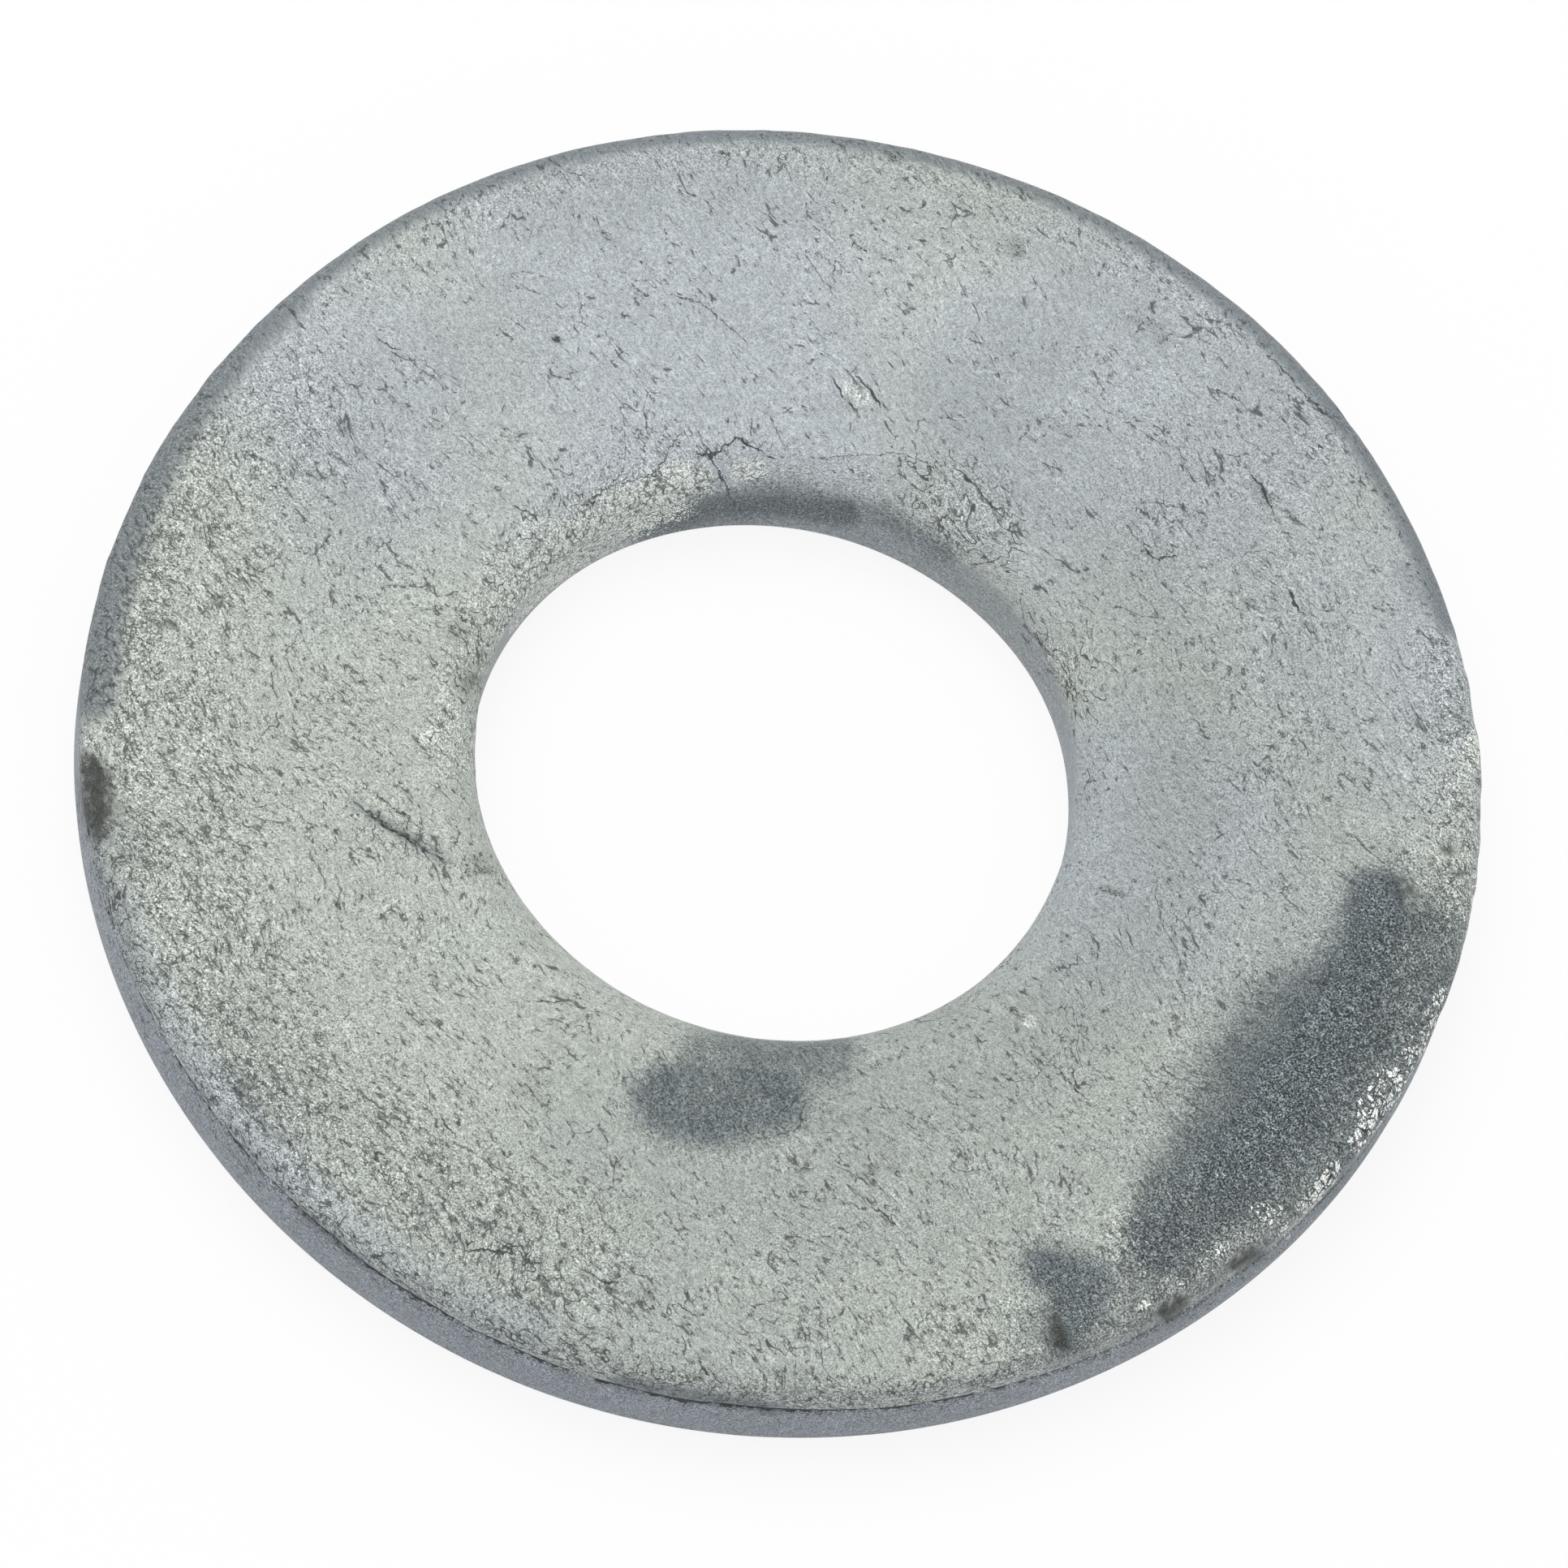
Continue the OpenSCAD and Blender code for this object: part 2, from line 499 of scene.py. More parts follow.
# Chalky crust, and painted highlights on a lump and on a dent's edge
CHALK_AND_HIGHLIGHTS = (
    band(5.5, 168, 128, 0.55, 0.85, 0.8),
    band(6.1, 200, 150, 0.45, 0.45),
    streak(0.36, 0.7, 0.6, (-3.25, 4.75), (-2.8, 4.85)),
    streak(0.26, 0.6, 0.6, (-2.1, 5.2), (-1.8, 5.3)),
    streak(0.18, 0.62, 0.7, (-0.55, 7.42), (-0.25, 7.24)),
    spot(5.5, -4.09, 0.16, 0.8, 0.7),
    streak(0.16, 1.3, 0.7, (12.08, 3.75), (12.25, 3.2)),
    spot(-12.15, -3.5, 0.12, 0.9, 0.7),
    # Painted highlight on the lit side of the lump at (-6.25, -1.65)
    streak(0.11, 1.4, 0.6, (-6.35, -1.7), (-6.18, -1.6)),
    # Painted highlight on the lit edge of the dent at 81 degrees
    spot(1.95, 11.15, 0.07, 0.9, 0.7),
    streak(0.3, 0.22, 0.9, (10.6, -6.6), (9.8, -7.6), (9.35, -8.3), (8.5, -9.4), (7.9, -9.9)),
)
# White blisters at the rim, and painted highlight along the rim's right-hand edge
RIM_BLISTERS_AND_HIGHLIGHTS = (
    # Blisters, and painted highlight along the rim's right-hand edge
    Mark(((12.62, -1.4, 0.12), (12.5, -2.35, 0.2), (12.3, -3.1, 0.28), (12.05, -3.75, 0.32),
        (11.9, -4.3, 0.24), (11.75, -4.9, 0.14)), 0.85, 0.8),
    # Painted highlight on the rim's roll, with blisters
    Mark(((11.45, -5.36, 0.12), (11.4, -5.6, 0.15), (11.13, -6.24, 0.14)), 1.4, 0.6),
    Mark(((10.45, -6.55, 0.2), (10.9, -6.75, 0.2)), 0.75, 0.8),
    spot(9.83, -7.55, 0.08, 1.2, 0.7),
    spot(9.37, -8.32, 0.09, 1.2, 0.7),
    spot(8.78, -8.92, 0.12, 1.1, 0.7),
    # Painted highlight along the rim's right-hand edge, with blisters
    Mark(((12.62, 3.3, 0.12), (12.72, 1.8, 0.12), (12.76, 0.0, 0.1)), 0.8, 0.8),
)
# Where the coat is crusty
ROUGH = (
    band(6.1, 200, 124, 0.7, 0.5, 0.7),
    band(11.2, 160, 262, 1.6, 1.0, 0.8),
    band(11.9, 165, 235, 0.7, 1.3),
    band(12.3, -12, 25, 0.6, 1.3),
    band(8.3, 160, 225, 1.8, 0.42),
    band(12.0, 298, 378, 0.9, 0.85, 0.8),
    band(10.0, 285, 330, 1.8, 0.45),
    band(11.7, 318, 356, 0.9, 1.9),
    streak(0.38, 1.5, 0.8, (-8.2, -9.0), (-7.8, -9.5), (-7.3, -9.8), (-6.5, -10.5)),
    streak(0.28, 1.5, 0.8, (-6.3, -9.4), (-5.9, -9.7)),
    streak(0.30, 1.5, 0.8, (-5.3, -10.0), (-4.9, -10.25), (-4.5, -10.55)),
    streak(0.24, 1.5, 0.8, (-4.0, -9.9), (-3.6, -10.6), (-3.1, -10.9)),
    band(9.5, -15, 45, 2.6, 0.5),
    spot(-8.0, -9.4, 1.0, 1.0, 0.8),
    spot(-5.6, -10.2, 1.3, 1.0, 0.8),
    spot(-9.6, -6.6, 1.1, 0.9, 0.8),
    spot(2.0, 5.6, 0.9, 0.9, 0.7),
    spot(4.5, 3.0, 0.6, 0.8, 0.7),
    spot(8.0, 9.0, 1.2, 0.6),
    band(12.2, 60, 160, 0.5, 0.5),
    band(12.9, 202, 330, 0.45, 0.8),
)
# The dark speckled band along the rim: grime, and painted shade where the rim's roll turns away from
# the light
RIM_GRIME_AND_SHADE = (
    band(12.60, 28, 150, 0.27, 0.95),
    band(12.62, 150, 192, 0.42, 1.0),
    streak(0.10, 0.9, 0.9, down_rim(-119, 0.70), down_rim(-112, 0.74)),
    streak(0.14, 0.9, 0.9, down_rim(-90, 0.74), down_rim(-77, 0.80)),
    spot(*down_rim(-43, 0.7), 0.22, 0.9),
    spot(*down_rim(-34, 0.7), 0.20, 0.9),
    streak(0.35, 0.5, 0.9, (10.2, 6.7), (11.0, 6.1)),
)
# Where the coat is wrinkled
WRINKLES = (
    band(6.0, 184, 138, 0.7, 0.75, 0.8),
    streak(0.7, 0.6, 0.8, (-3.8, 5.0), (-2.0, 5.8)),
    Mark(((1.2, 6.2, 0.6), (2.0, 5.7, 0.9), (2.9, 5.2, 0.6)), 1.1, 0.7),
    Mark(((4.1, 3.5, 0.4), (4.7, 3.0, 0.55), (5.2, 2.4, 0.4)), 1.0, 0.7),
    spot(5.6, 6.3, 0.8, 0.7, 0.8),
    spot(-4.4, 8.3, 1.0, 0.6, 0.8),
    spot(-8.2, -1.6, 1.3, 0.5, 0.8),
    band(11.6, 205, 285, 1.0, 0.65, 0.8),
    band(12.9, 202, 330, 0.45, 0.9),
    spot(6.0, -4.4, 1.2, 0.6, 0.8),
    spot(3.5, -7.5, 1.4, 0.5, 0.8),
    spot(8.5, 3.5, 2.2, 0.5, 0.8),
    spot(8.0, 9.0, 1.5, 0.6),
    spot(-1.0, 10.6, 1.6, 0.5),
)
# Single lumps of zinc, and one groove
LUMPS = (
    streak(0.26, 0.05, 0.7, (12.05, 3.8), (12.25, 3.1)),
    spot(-6.25, -1.65, 0.2, 0.04, 0.5),
    streak(0.2, 0.03, 0.6, (-0.55, 7.42), (-0.25, 7.24)),
    streak(0.4, 0.04, 0.6, (-3.2, 4.75), (-2.5, 5.3), (-1.8, 5.6)),
    streak(0.12, 0.035, 0.7, (1.2, 6.3), (1.9, 5.6), (2.3, 5.1)),
    streak(0.10, 0.035, 0.7, (1.6, 6.4), (2.3, 5.8), (2.8, 5.2)),
    streak(0.10, 0.03, 0.7, (2.1, 6.4), (2.7, 5.9), (3.1, 5.4)),
    streak(0.09, 0.035, 0.7, (4.1, 3.5), (4.5, 3.2), (4.7, 2.7)),
    streak(0.09, 0.035, 0.7, (4.4, 3.7), (4.85, 3.3), (5.05, 2.7)),
    streak(0.12, -0.03, 0.8, (5.1, 6.35), (5.15, 6.0), (5.45, 5.75), (5.95, 5.8), (6.15, 6.2)),
    spot(5.6, 6.3, 0.3, 0.03),
)
# Hairline cracks, as paths in X and Y for each width
CRACK_PATHS = {
    0.7: (
        ((-7.17, 5.15), (-6.63, 4.79)), ((3.0, -5.45), (3.5, -5.0), (4.2, -4.85)),
        ((8.9, 3.2), (9.0, 2.6), (9.15, 2.0), (9.2, 1.0)),
        ((-1.52, -11.24), (-1.69, -11.13), (-1.89, -11.23)),
        ((-2.1, -11.1), (-2.2, -11.45), (-1.8, -11.6), (-1.5, -11.45)),
    ),
    0.8: (
        ((8.4, 4.8), (8.7, 4.5), (9.0, 4.2)), ((5.7, 1.7), (6.1, 1.3), (6.5, 0.7), (6.9, 0.3)),
        ((-8.58, 5.99), (-8.32, 5.76), (-7.88, 5.54)), ((-9.7, 4.83), (-9.49, 4.46)),
        ((-5.05, 7.12), (-4.75, 6.83)), ((-4.89, 5.83), (-4.69, 5.63)),
        ((-0.75, -9.53), (-0.52, -9.43), (-0.34, -9.54)), ((0.8, -8.5), (1.1, -8.99)),
        ((5.43, 9.69), (6.03, 9.09)), ((-8.0, -2.95), (-7.6, -3.05), (-7.25, -3.3)),
        ((-3.0, -10.9), (-2.4, -11.0)), (down_bore(41, 0.1), down_bore(46, 0.8)),
        (down_rim(-62, 0.1), down_rim(-60, 0.6)),
        ((-10.2, 0.6), (-9.9, 0.1), (-9.6, -0.3), (-9.4, -0.9)),
        (down_bore(157, 1.0), down_bore(161, 0.4), down_bore(164, 0.0)),
        (down_bore(141, 1.1), down_bore(143, 0.6), down_bore(147, 0.2)),
        (down_rim(-101, 0.75), down_rim(-99, 1.1), down_rim(-97, 0.9)),
        (down_rim(-108, 0.1), down_rim(-106, 0.5), down_rim(-104, 0.72)),
    ),
    0.9: (
        ((1.13, -9.59), (1.35, -9.83)), ((0.61, -10.13), (0.78, -10.34)),
        ((2.4, -9.82), (2.61, -9.96), (2.86, -10.05)), ((2.39, -10.93), (2.83, -10.91)),
        ((-4.29, -6.45), (-4.02, -6.51), (-3.79, -6.49)), ((-4.29, -8.16), (-4.09, -8.35)),
        ((-5.36, -7.8), (-5.35, -8.13)), ((5.67, -4.07), (5.94, -4.36)), ((7.26, -3.73), (7.5, -3.78)),
        ((7.77, -4.62), (8.11, -4.6)), ((-6.6, 2.5), (-6.4, 2.45)), ((-9.4, 2.55), (-9.2, 2.5)),
        ((-8.1, -1.25), (-7.95, -1.35)), ((2.2, -8.1), (2.4, -8.0)), ((3.3, -8.5), (3.7, -8.6)),
        ((-6.6, -1.5), (-6.35, -1.35), (-6.05, -1.4)),
        ((7.1, -0.7), (7.15, -0.95), (7.4, -1.5), (7.8, -2.0), (8.0, -2.4)),
        ((4.79, -7.28), (5.07, -7.3), (5.34, -7.19), (5.54, -7.25)),
        ((-0.9, 5.81), (-0.19, 6.08), (0.51, 6.35), (0.97, 6.37), (1.22, 6.27), (1.56, 6.15)),
        ((5.22, -5.24), (5.51, -5.33), (5.86, -5.15), (6.1, -4.61)),
        (down_bore(30, 0.0), down_bore(36, 0.3), down_bore(43, 0.8), down_bore(52, 1.1)),
        (down_bore(60, 0.1), down_bore(66, 0.3), down_bore(76, 0.4)),
        (down_bore(150, 1.1), down_bore(153, 0.5), down_bore(156, 0.0)),
    ),
    0.95: (
        ((-6.05, -3.42), (-6.45, -3.26), (-6.85, -3.1)),
    ),
    1.0: (
        ((-3.67, 9.06), (-3.39, 8.88)), ((-9.05, 5.92), (-8.8, 5.82)),
        ((0.75, -11.29), (1.06, -11.46)), ((-3.32, -6.25), (-2.76, -6.09)),
        ((-4.82, -8.15), (-4.58, -8.49)), ((-4.45, -8.74), (-4.24, -8.97), (-4.05, -9.13)),
        ((-5.3, -7.12), (-5.04, -7.24)), ((3.43, 5.98), (3.68, 5.8)), ((5.41, 6.74), (5.72, 6.75)),
        ((5.97, 9.33), (6.3, 9.26)), ((7.04, 10.09), (7.42, 9.77), (8.12, 9.37)),
        ((6.49, -4.86), (6.6, -5.13), (6.77, -5.21)), ((4.93, 6.17), (5.22, 5.91)),
        ((1.95, -6.9), (2.0, -7.3), (1.75, -7.5)),
        ((-4.11, 8.32), (-3.81, 8.36), (-3.31, 8.21), (-2.95, 7.97), (-2.6, 7.81)),
        ((-2.3, -11.09), (-1.97, -11.32), (-1.83, -11.45), (-1.52, -11.49)),
        ((-4.7, 3.7), (-4.34, 4.19), (-3.8, 4.52), (-3.55, 4.8), (-3.37, 5.5)),
        ((-7.2, -3.34), (-7.0, -3.42), (-6.55, -3.62), (-6.25, -3.68), (-6.0, -3.83), (-5.45, -3.97)),
        (down_bore(28, 0.0), down_bore(32, 0.5), down_bore(39, 1.2)),
    ),
    1.1: (
        ((-2.68, 5.3), (-2.38, 4.94), (-2.05, 4.52)), ((-5.88, 3.3), (-5.47, 3.16)),
        ((5.49, 5.73), (5.67, 5.61), (5.94, 5.78)),
        ((3.43, -8.54), (3.77, -8.49), (4.11, -8.69), (4.24, -8.79)),
        ((-1.01, -11.14), (-0.84, -11.24), (-0.59, -11.2)),
        ((1.74, 6.34), (2.1, 6.13), (2.37, 5.92), (2.57, 5.76)),
        ((-2.86, 5.31), (-2.58, 5.48), (-2.31, 5.82), (-1.95, 5.7), (-1.65, 5.64)),
    ),
    1.2: (
        ((7.03, 7.74), (7.32, 7.48), (7.44, 7.26)), ((8.18, 5.67), (8.4, 5.39)),
        ((-0.85, 7.45), (-0.62, 7.2), (-0.4, 7.02)), ((-0.45, 7.68), (-0.15, 7.48), (0.02, 7.25)),
        ((-3.1, -11.29), (-2.79, -11.22), (-2.45, -11.18)),
    ),
}
CRACKS = tuple(crack(width, *path) for width, paths in CRACK_PATHS.items() for path in paths)
# The marks of each kind
MARKS = {
    MarkKind.STAIN: STAINS, MarkKind.BLUE: BLUES, MarkKind.SHADE: SHADES, MarkKind.DIRT_AND_SHADE: DIRT_AND_SHADE,
    MarkKind.CHALK_AND_HIGHLIGHTS: CHALK_AND_HIGHLIGHTS, MarkKind.BLISTER_AND_HIGHLIGHT: RIM_BLISTERS_AND_HIGHLIGHTS, MarkKind.ROUGH: ROUGH, MarkKind.RIM_GRIME_AND_SHADE: RIM_GRIME_AND_SHADE,
    MarkKind.WRINKLE: WRINKLES, MarkKind.LUMP: LUMPS, MarkKind.CRACK: CRACKS,
}


@dataclass(frozen=True)
class Bumps:
    """One layer of soft bumps in the zinc.

    Attributes:
        height: height of the highest bumps.
        pitch: how far the bumps lie apart.
        seed: picks their places.
        lift: how much the noise is lifted before what lies below zero is cut off.
    """

    height: float
    pitch: float
    seed: int
    lift: float = 0.0

    def waves(self, points: np.ndarray) -> np.ndarray:
        """Height times noise, up and down."""
        return self.height * soft_noise(points, self.pitch, self.seed)

    def grains(self, points: np.ndarray) -> np.ndarray:
        """Height times the noise and lift where their sum is above zero, and 0 elsewhere."""
        return self.height * np.clip(soft_noise(points, self.pitch, self.seed) + self.lift, 0.0, None)


@dataclass(frozen=True)
class Chip:
    """The chip that a round tool knocked out of the rim's rolled edge.

    Attributes:
        direction: where it lies, in degrees from the axis.
        length: its length along the rim.
        depth: its depth.
        inset: how far in from the wall and below the face the middle of the roll lies.
        slope: how steeply the tool came in, in degrees.
    """

    direction: float = 200.0
    length: float = 1.5
    depth: float = 0.18
    inset: float = 0.13
    slope: float = 45.0

    def taken(self, points: np.ndarray, rim_radius: float, thickness: float) -> np.ndarray:
        """How far each point lies inside the tool.

        The tool is a sphere of radius (length² / 4 + depth²) / (2 depth), whose surface
        reaches the depth below the middle of the roll.

        Args:
            points: places on the skin.
            rim_radius: radius of the rim.
            thickness: height of the upper face.

        Returns:
            The depth at each point, 0 outside the chip.
        """
        radius = (self.length**2 / 4 + self.depth**2) / (2 * self.depth)
        out = (radius - self.depth) * math.cos(math.radians(self.slope)) - self.inset
        up = (radius - self.depth) * math.sin(math.radians(self.slope)) - self.inset
        turn = math.radians(self.direction)
        across = rim_radius + out
        centre = np.array([across * math.cos(turn), across * math.sin(turn), thickness + up])
        return np.clip(radius - np.linalg.norm(points - centre, axis=-1), 0.0, None)


@dataclass(frozen=True)
class Gouge:
    """The groove that a sharp edge cut into the upper face, with the metal it pushed up.

    Attributes:
        start: one end in X and Y.
        stop: the other end.
        width: its width at the face.
        depth: its depth at the middle.
        lip_place: how far from the middle line its lips stand, in half widths.
        lip_spread: how wide a lip is, in half widths squared.
        lip_share: height of a lip as a share of the depth.
    """

    start: Point = (-7.0, -3.4)
    stop: Point = (-5.4, -3.95)
    width: float = 0.20
    depth: float = 0.07
    lip_place: float = 1.5
    lip_spread: float = 0.3
    lip_share: float = 0.35

    def taken(self, x: np.ndarray, y: np.ndarray) -> np.ndarray:
        """Depth of the groove less the height of its lips.

        Depth times (1 - the distance from the middle as a share of half the length,
        squared), times (1 - the distance from the middle line in half widths) less a
        bell curve for each lip.

        Args:
            x: X of each point.
            y: Y of each point.

        Returns:
            The depth at each point, below zero on the lips.
        """
        dx, dy = self.stop[0] - self.start[0], self.stop[1] - self.start[1]
        length = math.hypot(dx, dy)
        along = ((x - self.start[0]) * dx + (y - self.start[1]) * dy) / length
        aside = ((x - self.start[0]) * dy - (y - self.start[1]) * dx) / length
        run = np.clip(1.0 - (2.0 * along / length - 1.0) ** 2, 0.0, None)
        share = np.abs(aside) / (self.width / 2)
        lip = np.exp(-((share - self.lip_place) ** 2) / self.lip_spread)
        return self.depth * run * (np.clip(1.0 - share, 0.0, None) - self.lip_share * lip)


@dataclass(frozen=True)
class Fold:
    """The fold in the zinc that runs round the rim's wall, below its roll.

    Attributes:
        half_mouth: half the height of its mouth.
        depth: its depth.
        drop: how far below the upper face it runs.
        wander: how it wanders up and down on the way.
        boldness: width of the dark line in it, as a crack's.
        skin: how far in from the rim the fold ends and is whole.
        reach: how far above and below its line it takes the nearest crack's place.
    """

    half_mouth: float = 0.09
    depth: float = 0.06
    drop: Waviness = Waviness(((0, 0.70, 0), (1, 0.25, -20)))
    wander: tuple[Bumps, ...] = (Bumps(0.05, 2.3, 31), Bumps(0.04, 0.6, 32))
    boldness: Waviness = Waviness(((0, 1.2, 0), (1, 0.30, -110), (2, 0.25, -100)))
    skin: tuple[float, float] = (0.2, 0.1)
    reach: float = 0.25

    def above(self, points: np.ndarray, thickness: float) -> np.ndarray:
        """Height of each point above the fold's line, which the drop and its wandering set.

        Args:
            points: places on the skin.
            thickness: height of the upper face.

        Returns:
            The height at each point, below zero under the line.
        """
        level = points * np.array([1.0, 1.0, 0.0])
        line = thickness - self.drop.at(np.arctan2(points[..., 1], points[..., 0]))
        return points[..., 2] - line - sum(bumps.waves(level) for bumps in self.wander)

    def taken(self, points: np.ndarray, rim_radius: float, thickness: float) -> np.ndarray:
        """Depth times (1 - height above the line as a share of half the mouth).

        Args:
            points: places on the skin.
            rim_radius: radius of the rim.
            thickness: height of the upper face.

        Returns:
            The depth at each point, 0 outside the fold.
        """
        out = np.hypot(points[..., 0], points[..., 1])
        outer = smooth_step(rim_radius - self.skin[0], rim_radius - self.skin[1], out)
        share = np.abs(self.above(points, thickness)) / self.half_mouth
        return self.depth * outer * np.clip(1.0 - share, 0.0, None)


@dataclass(frozen=True)
class WallShade:
    """How much of the walls' darker colour, partly painted shade, a point has, from 0 to 1.

    Attributes:
        upright: upward part of the normal at which a wall starts and is full.
        rim_reach: how far in from the rim the rim's own rule holds.
        fold_blur: half the height over which the rim's wall darkens at its fold.
        roll_share: most that the rim's roll has.
        roll_depths: depths below the face at which that starts and is full.
        bore_share: most that the bore's wall has.
        bore_depths: depths below the face at which that starts and is full.
    """

    upright: tuple[float, float] = (0.7, 0.3)
    rim_reach: float = 0.45
    fold_blur: float = 0.05
    roll_share: float = 0.4
    roll_depths: tuple[float, float] = (0.02, 0.35)
    bore_share: float = 0.72
    bore_depths: tuple[float, float] = (0.35, 0.95)

    def at(
        self, depth: np.ndarray, upward: np.ndarray, above_fold: np.ndarray, outer: np.ndarray
    ) -> np.ndarray:
        """The painted shade: the roll's or the wall's at the rim, the wall's alone at the bore.

        Args:
            depth: how far each point lies below the upper face.
            upward: upward part of its normal.
            above_fold: how far it lies above the fold.
            outer: whether it lies at the rim.

        Returns:
            The share of the walls' colour at each point.
        """
        # The rim's roll, the rim's wall below its fold and the deeper bore get painted shade
        steep = smooth_step(*self.upright, np.abs(upward))
        below = smooth_step(self.fold_blur, -self.fold_blur, above_fold)
        roll = self.roll_share * smooth_step(*self.roll_depths, depth)
        bore = self.bore_share * smooth_step(*self.bore_depths, depth)
        return np.where(outer, np.maximum(roll, steep * below), steep * bore)


@dataclass
class WasherSkin:
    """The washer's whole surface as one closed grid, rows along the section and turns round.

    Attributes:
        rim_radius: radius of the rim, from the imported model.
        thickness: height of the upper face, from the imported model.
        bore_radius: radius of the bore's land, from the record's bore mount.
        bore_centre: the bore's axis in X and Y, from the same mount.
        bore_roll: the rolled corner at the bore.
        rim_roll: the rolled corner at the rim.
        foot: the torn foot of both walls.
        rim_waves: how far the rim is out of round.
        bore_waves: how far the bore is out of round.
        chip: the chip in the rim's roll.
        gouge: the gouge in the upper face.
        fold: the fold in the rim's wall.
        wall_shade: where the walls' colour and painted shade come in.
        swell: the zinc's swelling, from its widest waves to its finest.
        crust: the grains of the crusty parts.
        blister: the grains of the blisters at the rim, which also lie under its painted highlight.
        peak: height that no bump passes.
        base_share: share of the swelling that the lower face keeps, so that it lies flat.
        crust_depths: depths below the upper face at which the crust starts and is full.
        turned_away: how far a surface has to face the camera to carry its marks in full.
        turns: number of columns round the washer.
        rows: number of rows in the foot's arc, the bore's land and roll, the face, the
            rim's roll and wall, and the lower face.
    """

    rim_radius: float
    thickness: float
    bore_radius: float
    bore_centre: Point
    bore_roll: RolledCorner = RolledCorner(0.85, 0.62)
    rim_roll: RolledCorner = RolledCorner(0.42, 0.40)
    foot: TornFoot = TornFoot(0.05, 0.50, 0.14)
    rim_waves: Waviness = Waviness(((2, 0.021, 51), (4, 0.020, 2), (5, 0.015, -17), (6, 0.008, 3)))
    bore_waves: Waviness = Waviness(
        ((2, 0.026, -37), (3, 0.010, 49), (4, 0.024, 43), (6, 0.010, -29))
    )
    chip: Chip = Chip()
    gouge: Gouge = Gouge()
    fold: Fold = Fold()
    wall_shade: WallShade = WallShade()
    swell: tuple[Bumps, ...] = (
        Bumps(0.012, 3.4, 11), Bumps(0.006, 1.3, 12), Bumps(0.005, 0.62, 13), Bumps(0.003, 0.33, 14)
    )
    crust: tuple[Bumps, ...] = (Bumps(0.048, 0.55, 21, 0.15), Bumps(0.030, 0.30, 22))
    blister: Bumps = Bumps(0.035, 0.28, 23, 0.2)
    peak: float = 0.064
    base_share: float = 0.15
    crust_depths: tuple[float, float] = (0.9, 0.3)
    turned_away: float = 0.2
    turns: int = 800
    rows: tuple[int, ...] = (4, 4, 15, 56, 13, 16, 8)

    def section(self) -> np.ndarray:
        """The section, up the bore's wall, across the face, down the rim and back below.

        Each row is a blend, an offset from the bore, one from the rim and a height. The
        blend runs from 0 at the bore to 1 at the rim.

        Returns:
            An array of the rows by four.
        """
        foot_rows, land_rows, bore_rows, face_rows, rim_rows, wall_rows, base_rows = self.rows
        foot_x, foot_z = self.foot.profile(foot_rows)
        bore_x, bore_z = self.bore_roll.arc(bore_rows)
        rim_x, rim_z = self.rim_roll.arc(rim_rows)
        bore_top = self.thickness - self.bore_roll.height
        rim_top = self.thickness - self.rim_roll.height
        land = np.linspace(self.foot.height, bore_top, land_rows + 2)[1:-1]
        wall = np.linspace(rim_top, self.foot.height, wall_rows + 2)[1:-1]
        face = np.linspace(0.0, 1.0, face_rows + 2)[1:-1]
        base = np.linspace(1.0, 0.0, base_rows + 2)[1:-1]
        spans = (
            (0.0, foot_x, 0.0, foot_z),
            (0.0, 0.0, 0.0, land),
            (0.0, bore_x, 0.0, self.thickness + bore_z),
            (face, self.bore_roll.width, self.rim_roll.width, self.thickness),
            (1.0, 0.0, rim_x[::-1], self.thickness + rim_z[::-1]),
            (1.0, 0.0, 0.0, wall),
            (1.0, 0.0, foot_x[::-1], foot_z[::-1]),
            (base, foot_x[0], foot_x[0], 0.0),
        )
        return np.concatenate([np.stack(np.broadcast_arrays(*span), axis=-1) for span in spans])

    def surface(self) -> np.ndarray:
        """The even surface, before the zinc's relief.

        A point is (1 - blend) times a circle round the bore's axis plus blend times a
        circle round the rim's, each circle with its own out-of-round waves.

        Returns:
            The points as rows by turns by three.
        """
        blend, from_bore, from_rim, height = self.section().T[:, :, None]
        turn = np.linspace(0.0, math.tau, self.turns, endpoint=False)[None, :]
        cos, sin = np.cos(turn), np.sin(turn)
        inner = self.bore_radius + self.bore_waves.at(turn) + from_bore
        outer = self.rim_radius + self.rim_waves.at(turn) - from_rim
        x = (1 - blend) * (self.bore_centre[0] + inner * cos) + blend * outer * cos
        y = (1 - blend) * (self.bore_centre[1] + inner * sin) + blend * outer * sin
        return np.stack([x, y, np.broadcast_to(height, x.shape)], axis=-1)

    @staticmethod
    def normals(points: np.ndarray) -> np.ndarray:
        """Unit normals of a closed grid: the step along the section times the step round.

        Args:
            points: the grid, as rows by turns by three.

        Returns:
            The normals in the same order.
        """
        along = np.roll(points, -1, axis=0) - np.roll(points, 1, axis=0)
        around = np.roll(points, -1, axis=1) - np.roll(points, 1, axis=1)
        normal = np.cross(along, around)
        return normal / np.linalg.norm(normal, axis=-1, keepdims=True)

    def dents(self, x: np.ndarray, y: np.ndarray) -> np.ndarray:
        """Depth of the round hollows: depth times (1 - the share of the half width squared).

        Args:
            x: X of each point.
            y: Y of each point.

        Returns:
            The depth at each point.
        """
        depth = np.zeros(x.shape)
        for dent in DENTS:
            radius = self.bore_radius + dent.across * (self.rim_radius - self.bore_radius)
            turn = math.radians(dent.direction)
            away = np.hypot(x - radius * math.cos(turn), y - radius * math.sin(turn))
            depth += dent.depth * np.clip(1.0 - (2.0 * away / dent.width) ** 2, 0.0, None)
        return depth

